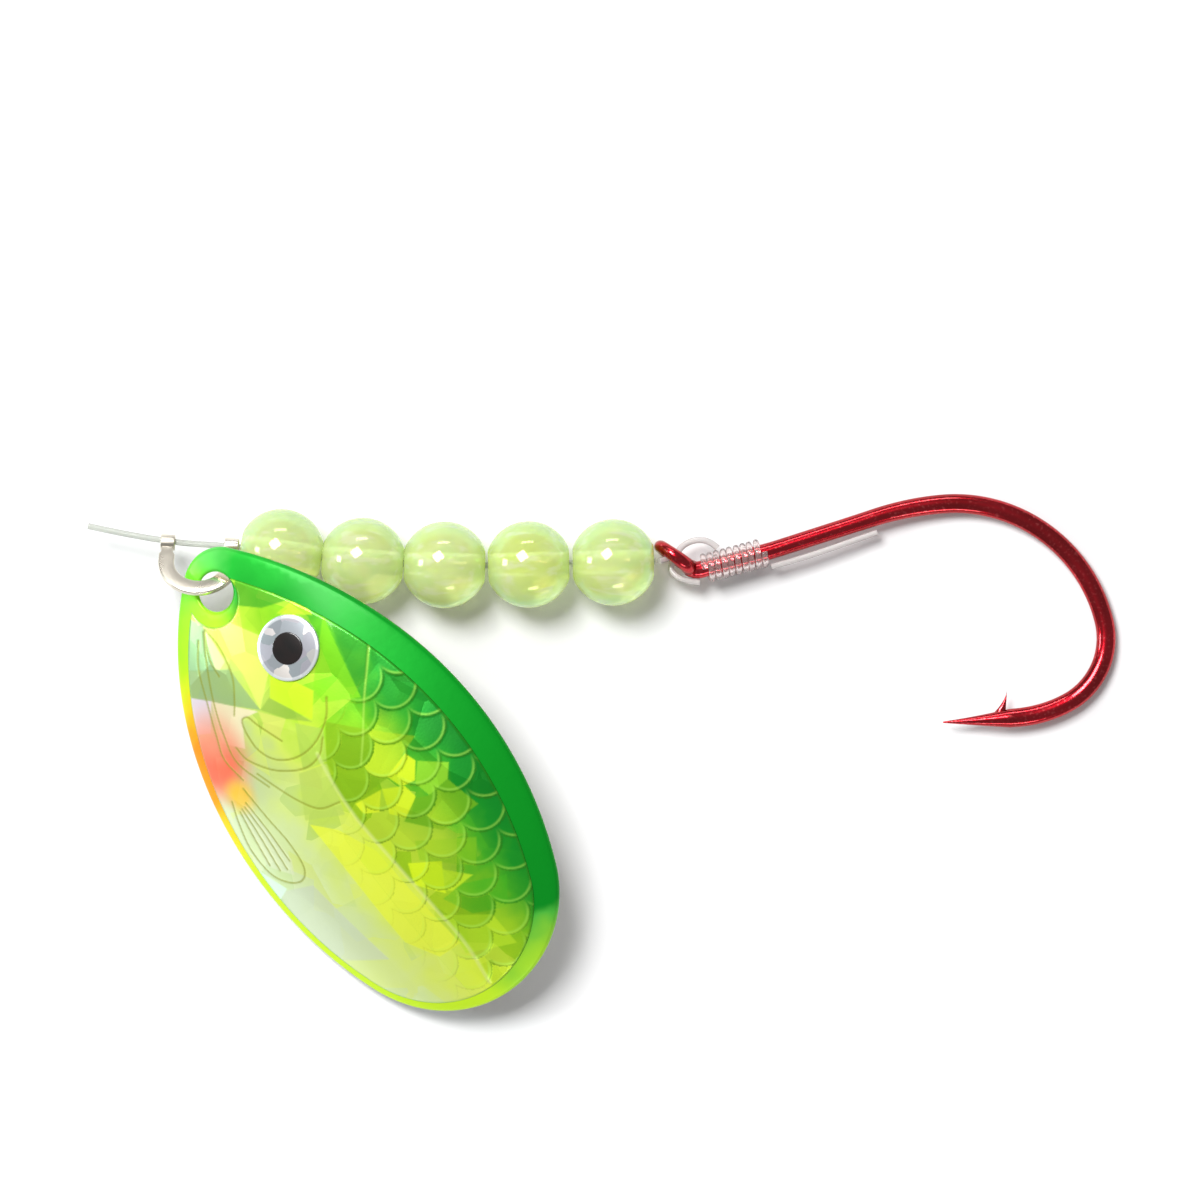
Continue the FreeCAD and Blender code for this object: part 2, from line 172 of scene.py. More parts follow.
def make_light(name, place, width, height, watts, colour=(1, 1, 1)):
    """A soft rectangular studio light that faces the middle of the rig."""
    light = make_object(name, bpy.data.lights.new(name, "AREA"))
    light.data.shape = "RECTANGLE"
    light.data.size = width
    light.data.size_y = height
    light.data.energy = watts
    light.data.color = colour
    light.location = place
    light.rotation_euler = (-Vector(place)).to_track_quat("-Z", "Y").to_euler()


def make_lights():
    """A key from the upper left, three weaker lights round the rig and a faint white sky."""
    make_light("key_softbox", (-0.18, 0.24, 0.53), 0.24, 0.24, 3.55)
    make_light("side_softbox", (-0.55, 0.06, 0.24), 0.14, 0.14, 0.9, (0.86, 1.0, 1.0))
    make_light("back_softbox", (-0.04, 0.58, 0.30), 0.30, 0.08, 0.6)
    make_light("front_softbox", (0.10, -0.55, 0.24), 0.24, 0.10, 0.45)
    world = bpy.data.worlds.new("studio")
    bpy.context.scene.world = world
    world.use_nodes = True
    background = world.node_tree.nodes["Background"]
    background.inputs["Color"].default_value = (1.0, 1.0, 1.0, 1)
    background.inputs["Strength"].default_value = WORLD_STRENGTH


def make_table():
    """A plain sheet of white paper under the rig."""
    mesh = bpy.data.meshes.new("table")
    corners = [(-1, -1), (1, -1), (1, 1), (-1, 1)]
    mesh.from_pydata([(TABLE_HALF * x, TABLE_HALF * y, 0) for x, y in corners], [], [(0, 1, 2, 3)])
    table = make_object("table", mesh)
    paper = Paint("white_paper", base=(0.93, 0.93, 0.935), roughness=0.9, specular=0.1)
    table.data.materials.append(paper.material)


# --- Node helpers ---

SOCKETS = {
    "base": "Base Color", "metallic": "Metallic", "roughness": "Roughness", "specular": "Specular IOR Level",
    "ior": "IOR", "edge": "Specular Tint", "transmission": "Transmission Weight", "coat": "Coat Weight",
    "coat_roughness": "Coat Roughness", "subsurface": "Subsurface Weight", "emission": "Emission Strength",
    "subsurface_scale": "Subsurface Scale", "film": "Thin Film Thickness", "film_ior": "Thin Film IOR",
}


class Paint:
    """A Principled material and the few steps that its node tree is built from."""

    def __init__(self, name, **values):
        self.material = bpy.data.materials.new(name)
        self.material.use_nodes = True
        self.tree = self.material.node_tree
        self.shader = self.tree.nodes["Principled BSDF"]
        for key, value in values.items():
            self.out(key, value)

    def node(self, kind, feeds=None, **settings):
        """The outputs of a new node, made with its settings and then fed through its inputs."""
        made = self.tree.nodes.new("ShaderNode" + kind)
        for key, value in settings.items():
            setattr(made, key, value)
        for key, value in (feeds or {}).items():
            self.feed(made.inputs[key], value)
        return made.outputs

    def feed(self, socket, value):
        """Links a socket to another one, or sets its value."""
        if isinstance(value, bpy.types.NodeSocket):
            self.tree.links.new(value, socket)
        elif isinstance(value, tuple) and len(value) == 3 and len(socket.default_value) == 4:
            socket.default_value = (*value, 1)
        else:
            socket.default_value = value

    def out(self, key, value):
        self.feed(self.shader.inputs[SOCKETS.get(key, key)], value)

    def place(self):
        """The point on the piece, in metres in the rig's frame."""
        return self.node("TexCoord")["Object"]

    def attribute(self, name, output="Fac"):
        return self.node("Attribute", attribute_name=name)[output]

    def facing(self):
        """Goes from 0 where the surface faces the eye to 1 where it turns away."""
        return self.node("LayerWeight", {"Blend": 0.5})["Facing"]

    def split(self, value, kind="XYZ"):
        """The parts of a vector, or of a colour when the kind is Color."""
        return self.node("Separate" + kind, {0: value})

    def math(self, operation, *values):
        return self.node("Math", dict(enumerate(values)), operation=operation)[0]

    def vector(self, operation, *values):
        output = "Value" if operation in ("DISTANCE", "LENGTH") else "Vector"
        return self.node("VectorMath", dict(enumerate(values)), operation=operation)[output]

    def rise(self, value, low, high, start=0.0, end=1.0):
        """Goes smoothly from start to end while the value goes from low to high."""
        feeds = {"Value": value, "From Min": low, "From Max": high, "To Min": start, "To Max": end}
        return self.node("MapRange", feeds, interpolation_type="SMOOTHSTEP")["Result"]

    def ramp(self, value, stops, low=0.0, high=1.0):
        """A colour ramp whose stops are given on the value's own scale, from low to high."""
        scaled = self.node("MapRange", {"Value": value, "From Min": low, "From Max": high})["Result"]
        colour = self.node("ValToRGB", {"Fac": scaled})["Color"]
        elements = colour.node.color_ramp.elements
        while len(elements) < len(stops):
            elements.new(0.5)
        for element, (place, tone) in zip(elements, stops):
            element.position = (place - low) / (high - low)
            element.color = (*paint_colour(tone), 1)
        return colour

    def mix(self, share, first, second, blend="MIX"):
        """Mixes a share of the second colour into the first, through a Mix node's colour sockets."""
        return self.node("Mix", {0: share, 6: first, 7: second}, data_type="RGBA", blend_type=blend)[2]

    def tint(self, share, colour, tone, blend="MIX"):
        """Mixes in a colour given as it looks on a screen."""
        return self.mix(share, colour, paint_colour(tone), blend)

    def noise(self, place, scale, detail=3.0):
        return self.node("TexNoise", {"Vector": place, "Scale": scale, "Detail": detail})["Fac"]

    def cells(self, place, scale, distance="EUCLIDEAN"):
        """A random colour for each cell of a Voronoi pattern."""
        return self.node("TexVoronoi", {"Vector": place, "Scale": scale}, distance=distance)["Color"]

    def grain(self, place, scale, depth, strength, detail=3.0, normal=None):
        """Gives the surface a fine unevenness, of a depth in metres."""
        feeds = {"Height": self.noise(place, scale, detail), "Distance": depth, "Strength": strength}
        if normal is not None:
            feeds["Normal"] = normal
        self.out("Normal", self.node("Bump", feeds)["Normal"])

    def tilted(self, cells, amount):
        """The surface's normal, leaned another way in each cell."""
        lean = self.vector("SUBTRACT", cells, (0.5, 0.5, 0.5))
        lean = self.vector("MULTIPLY", lean, (amount, amount, 0.0))
        return self.vector("NORMALIZE", self.vector("ADD", self.node("NewGeometry")["Normal"], lean))


def paint_colour(colour):
    """A colour given as it looks on a screen, from 0 to 255, as the shader needs it."""
    return tuple((value / 255) ** 2.2 for value in colour)


# --- Mesh helpers ---


def make_solid(name, points, faces):
    """A closed object from points in millimetres in a frame of its own, with its faces outward."""
    mesh = bpy.data.meshes.new(name)
    mesh.from_pydata([tuple(p) for p in points], [], [tuple(f) for f in faces])
    shell = bmesh.new()
    shell.from_mesh(mesh)
    bmesh.ops.recalc_face_normals(shell, faces=shell.faces)
    shell.to_mesh(mesh)
    shell.free()
    mesh.shade_smooth()
    return make_object(name, mesh)


def bring(piece, place):
    """Brings a piece drawn in millimetres to its place in metres."""
    piece.data.transform(place @ MM)
    piece.data.update()


def make_mesh(name, points, faces, place):
    """A closed object in its place, from points in millimetres in a frame of its own."""
    piece = make_solid(name, points, faces)
    bring(piece, place)
    return piece


def skin(rings, closed=False):
    """Points and faces of a surface through rings of equal count, with a fan on each open end."""
    count = len(rings[0])
    points = np.vstack(rings)
    faces = []
    total = len(rings)
    for i in range(total if closed else total - 1):
        here = i * count
        there = (i + 1) % total * count
        for k in range(count):
            after = (k + 1) % count
            faces.append((here + k, here + after, there + after, there + k))
    if not closed:
        last = (total - 1) * count
        points = np.vstack([points, points[:count].mean(0), points[last:last + count].mean(0)])
        for k in range(count):
            after = (k + 1) % count
            faces.append((after, k, len(points) - 2))
            faces.append((last + k, last + after, len(points) - 1))
    return points, faces


def directions(path):
    """Unit directions along a path, one at each of its points."""
    ahead = np.gradient(path, axis=0)
    return ahead / np.linalg.norm(ahead, axis=1)[:, None]


def full_turn(count):
    """Angles spaced evenly round a full turn."""
    return np.linspace(0, 2 * math.pi, count, endpoint=False)


def frames_along(path):
    """Unit directions along a path and two steady side directions at each of its points."""
    ahead = directions(path)
    side = np.cross(ahead[0], (0, 0, 1) if abs(ahead[0][2]) < 0.9 else (1, 0, 0))
    sides = []
    for direction in ahead:
        side = side - direction * (side @ direction)
        side = side / np.linalg.norm(side)
        sides.append(side)
    sides = np.array(sides)
    return ahead, sides, np.cross(ahead, sides)


CUT_ROUNDING = 0.08


def round_bar(path, radii, count, widen=1.0, flatten=1.0):
    """The rings of a bar along a path, round unless widened or flattened, with rounded cut ends."""
    radii = np.broadcast_to(radii, len(path)).astype(float)
    ahead, sides, ups = frames_along(path)
    sides = sides * np.broadcast_to(widen, len(path))[:, None]
    ups = ups * np.broadcast_to(flatten, len(path))[:, None]
    turns = full_turn(count)
    rings = []
    for i, centre in enumerate(path):
        circle = np.outer(np.cos(turns), sides[i]) + np.outer(np.sin(turns), ups[i])
        if i in (0, len(path) - 1):
            rim = min(0.3 * radii[i], CUT_ROUNDING)
            outward = -ahead[i] if i == 0 else ahead[i]
            edge = []
            for step in (0, 30, 60, 90):
                angle = math.radians(step)
                radius = radii[i] - rim * (1 - math.cos(angle))
                edge.append(centre + outward * rim * math.sin(angle) + circle * radius)
            rings.extend(reversed(edge) if i == 0 else edge)
        else:
            rings.append(centre + circle * radii[i])
    return rings


def lathe(profile, count):
    """The rings of a closed profile of (along, radius) points turned about the X axis."""
    turns = full_turn(count)
    return [np.stack([np.full(count, along), radius * np.cos(turns), radius * np.sin(turns)], 1)
            for along, radius in profile]


def arc_points(centre, radius, start, end, step=6.0):
    """Points of an arc from a start to an end angle in degrees."""
    count = max(2, int(abs(end - start) / step) + 1)
    angles = np.radians(np.linspace(start, end, count))
    return [(centre[0] + radius * math.cos(a), centre[1] + radius * math.sin(a)) for a in angles]


def join_solids(base, tool):
    """Fuses two overlapping solids and leaves no faces inside."""
    modifier = base.modifiers.new("join", "BOOLEAN")
    modifier.operation = "UNION"
    modifier.solver = "EXACT"
    modifier.object = tool
    bpy.context.view_layer.update()
    graph = bpy.context.evaluated_depsgraph_get()
    fused = bpy.data.meshes.new_from_object(base.evaluated_get(graph))
    base.modifiers.clear()
    base.data = fused
    bpy.data.objects.remove(tool)


def soften(piece, degrees):
    """Shades a piece smooth, except at edges sharper than an angle."""
    piece.data.shade_smooth()
    piece.data.set_sharp_from_angle(angle=math.radians(degrees))


def set_values(piece, name, values):
    """Stores one number or one vector for each point of a mesh, for its material to read."""
    kind = "FLOAT" if values.ndim == 1 else "FLOAT_VECTOR"
    attribute = piece.data.attributes.new(name, kind, "POINT")
    attribute.data.foreach_set("value" if kind == "FLOAT" else "vector", values.astype(np.float32).ravel())


def settle(piece, body, slot, paint, *nodes):
    """Gives a finished piece its material and body, and hides the CAD nodes that it stands for; its slot is
    not used.
    """
    if not piece.data.materials:
        piece.data.materials.append(paint.material)
    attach(piece, body)
    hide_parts(*nodes)


def on_joint(name):
    """A frame at a joint, with its X along the joint's axis, in metres."""
    axis = Vector(joints[name]["axis"])
    turn = Vector((1, 0, 0)).rotation_difference(axis).to_matrix().to_4x4()
    return Matrix.Translation(Vector(joints[name]["pos_m"])) @ turn


# --- Line ---


def clear_line(name, middle, edge_shade_tint, transmission):
    """Clear nylon: glassy, a little milky, painted darker where it turns away (painted shade for the dark
    surroundings seen through its edges), with faint drawing marks.
    """
    paint = Paint(name, roughness=0.1, ior=1.5, transmission=transmission)
    # Painted shade: the base colour goes toward the edge tint where the line turns from the eye.
    rim = paint.rise(paint.facing(), 0.35, 0.95)
    paint.out("base", paint.tint(rim, paint_colour(middle), edge_shade_tint))
    paint.grain(paint.place(), 1800, 0.00002, 0.3)
    return paint


def line_curve(name, points, place=None):
    """A length of line as one smooth spline through a given route, in metres."""
    curve = bpy.data.curves.new(name, "CURVE")
    curve.dimensions = "3D"
    curve.bevel_depth = LINE_DIAMETER / 2 * 0.001
    curve.bevel_resolution = 10
    curve.resolution_u = 24
    curve.use_fill_caps = True
    spline = curve.splines.new("NURBS")
    spline.points.add(len(points) - 1)
    for point, co in zip(spline.points, points):
        point.co = (*(place @ Vector(co) if place else co), 1)
    spline.order_u = 3
    spline.use_endpoint_u = True
    return make_object(name, curve)


def make_leader(paint):
    """The leader, from its cut end through clevis and beads to the knot."""
    leader = line_curve("leader_line", LEADER_ROUTE)
    settle(leader, "line", "line", paint, "leader")


# --- Beads ---


def bead_plastic():
    """Milky chartreuse plastic with a pearly coat, paler through the middle than at its edge, where it is
    painted a deeper yellow-green by view angle; it also glows faintly in its own colour, though it is no
    lamp.
    """
    paint = Paint("bead_plastic", roughness=0.08, ior=1.46, transmission=0.56, subsurface=0.6,
                  subsurface_scale=0.0018, film=430.0, film_ior=1.7, emission=0.05)
    place = paint.place()
    cloud = paint.noise(place, 260, 2.0)
    colour = paint.ramp(cloud, [(0.3, (226, 240, 146)), (0.5, (233, 245, 176)), (0.65, (222, 243, 174)),
                                (0.8, (238, 241, 166))])
    streaks = paint.noise(paint.vector("MULTIPLY", place, (0.25, 1.0, 1.0)), 1300, 2.0)
    colour = paint.tint(paint.rise(streaks, 0.5, 0.68, 0.0, 0.7), colour, (248, 252, 216))
    # Painted light: the rim turns a deeper yellow-green by view angle, standing for light passing through
    # the bead's edge.
    colour = paint.tint(paint.rise(paint.facing(), 0.55, 1.0, 0.0, 0.6), colour, (232, 252, 104))
    paint.out("base", colour)
    # Painted light: the bead glows faintly in its own colour.
    paint.out("Emission Color", colour)
    paint.out("Subsurface Radius", (0.9, 1.0, 0.35))
    paint.grain(place, 700, 0.00003, 0.3, 2.0)
    return paint


def make_bead(number, paint):
    """A round bead with softened flat poles and a bore along the line."""
    reach = math.sqrt(BEAD_RADIUS ** 2 - BEAD_FLAT_RADIUS ** 2)
    mouth = 0.12
    edge = BEAD_FLAT_RADIUS - 0.06
    pole = math.degrees(math.acos(reach / BEAD_RADIUS)) + 2.5
    ball = arc_points((0, 0), BEAD_RADIUS, pole, 180 - pole, 3.0)
    left = arc_points((-reach + mouth, BEAD_BORE_RADIUS + mouth), mouth, 180, 270, 15)
    right = arc_points((reach - mouth, BEAD_BORE_RADIUS + mouth), mouth, 270, 360, 15)
    profile = ball + [(-reach, edge)] + left + right + [(reach, edge)]
    points, faces = skin(lathe(profile, 96), closed=True)
    bead = make_mesh(f"bead_{number}_pearl", points, faces, on_joint(f"bead_{number}_spin"))
    settle(bead, f"bead_{number}", "bead", paint, f"bead_{number}")


# --- Clevis ---


def nickel(name, tint, roughness):
    """Plated nickel with fine polishing marks and a few dull clouds."""
    paint = Paint(name, metallic=1.0, roughness=roughness)
    place = paint.place()
    cloud = paint.noise(place, 260, 4.0)
    dark = tuple(value * 0.86 for value in tint)
    paint.out("base", paint.ramp(cloud, [(0.35, dark), (0.6, tint)]))
    paint.out("roughness", paint.rise(cloud, 0.3, 0.7, roughness + 0.12, roughness))
    paint.grain(place, 2600, 0.00001, 0.3)
    return paint


def strip_rings():
    """The rings of the clevis's flat strip, with a narrow neck under each barrel.

    Each leg ends inside its barrel's wall, clear of the bore.
    """
    middle = CLEVIS_RADIUS - CLEVIS_BAND / 2
    in_wall = (BARREL_RADIUS + BARREL_BORE_RADIUS) / 2 - 0.015
    legs = np.linspace(-in_wall, -CLEVIS_LEG, 8)[:-1]
    path = [(-middle, y) for y in legs]
    path += arc_points((0, -CLEVIS_LEG), middle, 180, 360, 3.0)
    path += [(middle, y) for y in legs[::-1]]
    rim = 0.1
    across = CLEVIS_BAND / 2 - rim
    thick = CLEVIS_SHEET / 2 - rim
    section = []
    for start, along, over in ((0, 1, 1), (90, -1, 1), (180, -1, -1), (270, 1, -1)):
        section += arc_points((along * across, over * thick), rim, start, start + 90, 22.5)
    wide, high = np.array(section).T
    widths = [1 - NECK_PINCH * max(0.0, 1 - ((y + NECK_MIDDLE) / NECK_REACH) ** 2) for x, y in path]
    path = np.array([(x, y, 0) for x, y in path])
    ahead = directions(path)
    outward = np.stack([ahead[:, 1], -ahead[:, 0], ahead[:, 2]], 1)
    return [centre + np.outer(wide, side) * width + np.outer(high, (0, 0, 1))
            for centre, side, width in zip(path, outward, widths)]


def barrel_profile(middle):
    """The turned profile of one rolled barrel, with rounded rims."""
    rim = 0.08
    bevel = 0.03
    start = middle - BARREL_LENGTH / 2
    end = middle + BARREL_LENGTH / 2
    profile = arc_points((end - rim, BARREL_RADIUS - rim), rim, 0, 90, 15)
    profile += arc_points((start + rim, BARREL_RADIUS - rim), rim, 90, 180, 15)
    profile += [(start, BARREL_BORE_RADIUS + bevel), (start + bevel, BARREL_BORE_RADIUS)]
    profile += [(end - bevel, BARREL_BORE_RADIUS), (end, BARREL_BORE_RADIUS + bevel)]
    return profile


def make_clevis():
    """A folded strip clevis: a flat horseshoe hanging from two barrels on the line."""
    place = on_joint("clevis_spin") @ Matrix.Rotation(math.radians(-CLEVIS_LIFT), 4, "X")
    paint = nickel("clevis_nickel", (238, 230, 214), 0.23)
    clevis = make_solid("clevis_strip", *skin(strip_rings()))
    middle = CLEVIS_RADIUS - CLEVIS_BAND / 2
    for side in (-middle, middle):
        join_solids(clevis, make_solid("barrel", *skin(lathe(barrel_profile(side), 48), closed=True)))
    bring(clevis, place)
    soften(clevis, 40)
    settle(clevis, "clevis", "nickel", paint, "clevis")


# --- Blade ---

TO_TIP = math.sqrt((HALF_WIDTH - TIP_RADIUS) * (2 * SIDE_RADIUS - TIP_RADIUS - HALF_WIDTH))
TO_END = math.sqrt((HALF_WIDTH - END_RADIUS) * (2 * SIDE_RADIUS - END_RADIUS - HALF_WIDTH))
WIDEST = TIP_RADIUS + TO_TIP
END_CENTRE = WIDEST + TO_END
BLADE_LENGTH = END_CENTRE + END_RADIUS
SIDE_DEPTH = SIDE_RADIUS - HALF_WIDTH
ON_EDGE = 1e-4


def blade_place():
    """The blade's frame: its tip, its length along X and its raised back edge toward Y."""
    place = Matrix.Translation(Vector(BLADE_TIP) * 0.001)
    for degrees, axis in ((BLADE_HEADING, "Z"), (BLADE_PITCH, "Y"), (BLADE_ROLL, "X")):
        place = place @ Matrix.Rotation(math.radians(degrees), 4, axis)
    return place


def crown(x, y, lift=0.0):
    """Height of the blade's double curve over its rim plane, or of a skin at a distance from it."""
    across = LONG_CURVE - CROSS_CURVE + np.sqrt((CROSS_CURVE + lift) ** 2 - y ** 2)
    return BLADE_CUP - LONG_CURVE + np.sqrt(across ** 2 - (x - BLADE_LENGTH / 2) ** 2)


def oval_depth(x, y):
    """How far inside the blade's outline each point lies."""
    y = np.abs(y)
    tip = TIP_RADIUS - np.hypot(x - TIP_RADIUS, y)
    end = END_RADIUS - np.hypot(x - END_CENTRE, y)
    side = SIDE_RADIUS - np.hypot(x - WIDEST, y + SIDE_DEPTH)
    past_tip = (TIP_RADIUS - WIDEST) * (y + SIDE_DEPTH) - SIDE_DEPTH * (x - WIDEST) > 0
    past_end = (END_CENTRE - WIDEST) * (y + SIDE_DEPTH) - SIDE_DEPTH * (x - WIDEST) < 0
    return np.where(past_tip, tip, np.where(past_end, end, side))


def oval_loop(inset, step):
    """The blade's outline drawn smaller by an inset, from its tip and back to it."""
    to_tip = math.degrees(math.atan2(SIDE_DEPTH, TIP_RADIUS - WIDEST))
    to_end = math.degrees(math.atan2(SIDE_DEPTH, END_CENTRE - WIDEST))
    half = []
    for centre, radius, start, end in (
        ((TIP_RADIUS, 0), TIP_RADIUS, 180, to_tip),
        ((WIDEST, -SIDE_DEPTH), SIDE_RADIUS, to_tip, to_end),
        ((END_CENTRE, 0), END_RADIUS, to_end, 0),
    ):
        half += arc_points(centre, radius - inset, start, end, math.degrees(step / radius))[:-1]
    half.append((BLADE_LENGTH - inset, 0))
    return np.array(half + [(x, -y) for x, y in half[-2:0:-1]])


def circle_loop(centre, radius, step):
    """Points of a circle, about a step apart."""
    count = int(2 * math.pi * radius / step)
    angles = np.linspace(-math.pi, math.pi, count, endpoint=False)
    return np.stack([centre[0] + radius * np.cos(angles), centre[1] + radius * np.sin(angles)], 1)


def fill(loops, depth, grid, margin):
    """Triangulates a region between closed loops, on a staggered grid deeper than a margin."""
    rows = np.arange(-HALF_WIDTH, HALF_WIDTH, grid * math.sqrt(3) / 2)
    columns = np.arange(0, BLADE_LENGTH, grid)
    x, y = np.meshgrid(columns, rows)
    x = x + grid / 2 * (np.arange(len(rows)) % 2)[:, None]
    inner = depth(x, y) > margin
    points = [tuple(p) for loop in loops for p in loop]
    edges = []
    start = 0
    for loop in loops:
        count = len(loop)
        edges += [(start + k, start + (k + 1) % count) for k in range(count)]
        start += count
    points += list(zip(x[inner], y[inner]))
    made = delaunay_2d_cdt([Vector(p) for p in points], edges, [], 0, 1e-6)
    flat = np.array([tuple(p) for p in made[0]])
    faces = np.array(made[2])
    return flat, faces[depth(*flat[faces].mean(1).T) > ON_EDGE]


def past_circle(x, y, centre, radius):
    """How far outside a circle each point lies."""
    return np.hypot(x - centre[0], y - centre[1]) - radius


def blade_depth(x, y):
    """How far inside the blade each point lies, from its outline and its clevis hole."""
    return np.minimum(oval_depth(x, y), past_circle(x, y, HOLE_CENTRE, HOLE_RADIUS))


def foil_depth(x, y):
    """How far inside the foil each point lies, from its moved oval and the bite in it."""
    oval = oval_depth(x - FOIL_MOVE[0], y - FOIL_MOVE[1]) - FOIL_INSET
    return np.minimum(oval, past_circle(x, y, FOIL_BITE_CENTRE, FOIL_BITE_RADIUS))


def foil_loop(inset, step):
    """The foil's outline: the moved oval, with a round bite beside the clevis hole."""
    oval = oval_loop(FOIL_INSET + inset, step) + FOIL_MOVE
    bite = circle_loop(FOIL_BITE_CENTRE, FOIL_BITE_RADIUS + inset, step)
    from_bite = past_circle(*oval.T, FOIL_BITE_CENTRE, FOIL_BITE_RADIUS + inset)
    in_oval = oval_depth(*(bite - FOIL_MOVE).T) - FOIL_INSET - inset
    apart = 0.02
    return np.vstack([oval[from_bite > apart], bite[in_oval > apart]])


def two_sided(flat, faces, top, bottom, rim):
    """A closed sheet over a flat triangulation, whose two sides meet at the rim's points."""
    free = np.where(~rim)[0]
    below = np.arange(len(flat))
    below[free] = len(flat) + np.arange(len(free))
    points = np.vstack([np.column_stack([flat, top]), np.column_stack([flat[free], bottom[free]])])
    return points, np.vstack([faces, below[faces][:, ::-1]])


def green_lacquer():
    """Candy lacquer on the blade's face: green along the back, yellow and orange on the belly."""
    paint = Paint("green_lacquer", metallic=0.3, roughness=0.42, specular=0.16, coat=0.14,
                  coat_roughness=0.2)
    spot = paint.attribute("spot", "Vector")
    x, y = paint.split(spot)[:2]
    cloud = paint.noise(spot, 0.35, 2.0)
    along = paint.math("ADD", x, paint.rise(cloud, 0.3, 0.7, -0.6, 0.6))
    back = paint.ramp(along, [
        (0.0, (92, 200, 88)), (2.0, (30, 172, 48)), (6.0, (2, 140, 34)), (14.0, (0, 157, 40)),
        (24.0, (0, 148, 36)), (33.1, (0, 144, 36)), (33.7, (80, 190, 66)), (36.9, (178, 234, 50)),
    ], 0.0, BLADE_LENGTH)
    belly = paint.ramp(along, [
        (0.0, (100, 228, 70)), (2.5, (140, 238, 50)), (6.5, (190, 250, 40)), (8.5, (236, 214, 40)),
        (10.5, (255, 150, 30)), (14.5, (255, 165, 24)), (17.0, (250, 220, 34)), (20.5, (214, 250, 40)),
        (30.0, (208, 248, 44)), (36.9, (204, 246, 48)),
    ], 0.0, BLADE_LENGTH)
    paint.out("base", paint.mix(paint.rise(y, -1.6, 1.2), belly, back))
    paint.grain(spot, 1.6, 0.00004, 0.25)
    return paint


def make_blade(place):
    """The dished sheet with a half-round edge: lacquered above, bare nickel below."""
    loops = [oval_loop(inset, BLADE_STEP) for inset in BLADE_ROUNDING]
    loops += [circle_loop(HOLE_CENTRE, HOLE_RADIUS + inset, BLADE_HOLE_STEP) for inset in BLADE_ROUNDING]
    rounded = BLADE_ROUNDING[-1]
    flat, faces = fill(loops, blade_depth, BLADE_GRID, rounded + BLADE_GRID_GAP)
    x, y = flat.T
    depth = blade_depth(x, y)
    full = np.sqrt(np.clip(1 - (1 - np.clip(depth, 0, rounded) / rounded) ** 2, 0, 1))
    face = crown(x, y)
    back = crown(x, y, -BLADE_SHEET)
    middle = (face + back) / 2
    face = middle + (face - middle) * full
    back = middle + (back - middle) * full
    points, faces = two_sided(flat, faces, face, back, depth < ON_EDGE)
    blade = make_mesh("blade_shell", points, faces, place)
    set_values(blade, "spot", points)
    blade.data.materials.append(green_lacquer().material)
    blade.data.materials.append(nickel("blade_back_nickel", (236, 232, 222), 0.2).material)
    under = np.arange(len(faces)) >= len(faces) // 2
    blade.data.polygons.foreach_set("material_index", under.astype(np.int32))
    settle(blade, "blade", "paint", None, "blade")


# --- Foil print ---

SCALE_ROW = 1.72
SCALE_GAP = 3.13
SCALE_RADIUS = 1.78
SCALE_ORIGIN = (14.9, 0.62)
SCALE_ROWS = range(-1, 15)
SCALE_SQUASH = 1.04
NO_SCALE = -99.0
LINE_WIDTH = 0.07
SHARD_EDGE = 0.05
SCALE_LIFT = 0.035
INK_DEPTH = 0.022
RIM_DEPTH = 0.018
CREASE_LIFT = 0.03
LATERAL_DEPTH = 0.015
PRINT_LINES = {
    "gill_edge_front": [(4.9, -3.3), (6.4, -4.4), (8.8, -5.3), (11.0, -6.1), (12.6, -6.6), (14.5, -6.2)],
    "gill_edge_back": [(4.6, -2.6), (6.8, -3.8), (9.0, -4.8), (11.2, -5.5), (13.3, -5.8), (15.9, -4.7)],
    "cheek_leaf_front": [(4.5, -2.4), (5.4, -2.9), (6.6, -3.3), (7.7, -3.3)],
    "cheek_leaf_back": [(4.5, -2.4), (6.2, -2.1), (8.2, -2.4), (9.6, -3.2), (10.5, -3.9)],
    "cheek_plate": [(13.8, -1.8), (12.0, -2.7), (11.1, -3.1), (11.3, -3.7), (13.2, -3.8), (14.6, -3.0),
        (15.3, -1.5), (15.2, 0.2), (14.3, 1.8), (13.1, 2.7)],
    "cheek_second": [(12.4, -5.2), (13.6, -4.9), (15.2, -3.5), (16.2, -1.6), (16.1, -0.1), (15.2, 0.9)],
    "cheek_third": [(14.7, -4.9), (16.2, -4.2), (17.9, -3.3), (19.1, -2.3), (19.5, -0.8)],
    "fin_edge": [(15.0, -6.6), (17.6, -6.3), (19.9, -6.0), (21.8, -6.2), (22.5, -7.0), (22.1, -8.1),
        (20.9, -9.0), (18.8, -9.2), (16.8, -8.7), (15.3, -8.1)],
    "fin_ray_1": [(15.9, -7.1), (18.3, -6.9), (20.9, -6.9)],
    "fin_ray_2": [(16.1, -7.4), (18.5, -7.3), (21.3, -7.5)],
    "fin_ray_3": [(16.1, -7.7), (18.4, -7.8), (21.1, -8.1)],
    "fin_ray_4": [(16.2, -8.0), (18.2, -8.3), (20.4, -8.6)],
}
LATERAL_LINE = [(11.4, 7.3), (13.0, 6.1), (14.8, 4.7), (16.6, 3.4), (18.2, 2.1)]
CREASE = [(15.9, -0.1), (18.0, -0.35), (21.0, -0.45), (25.0, -0.15), (29.0, 0.1), (32.5, 0.15),
          (35.6, -0.4)]
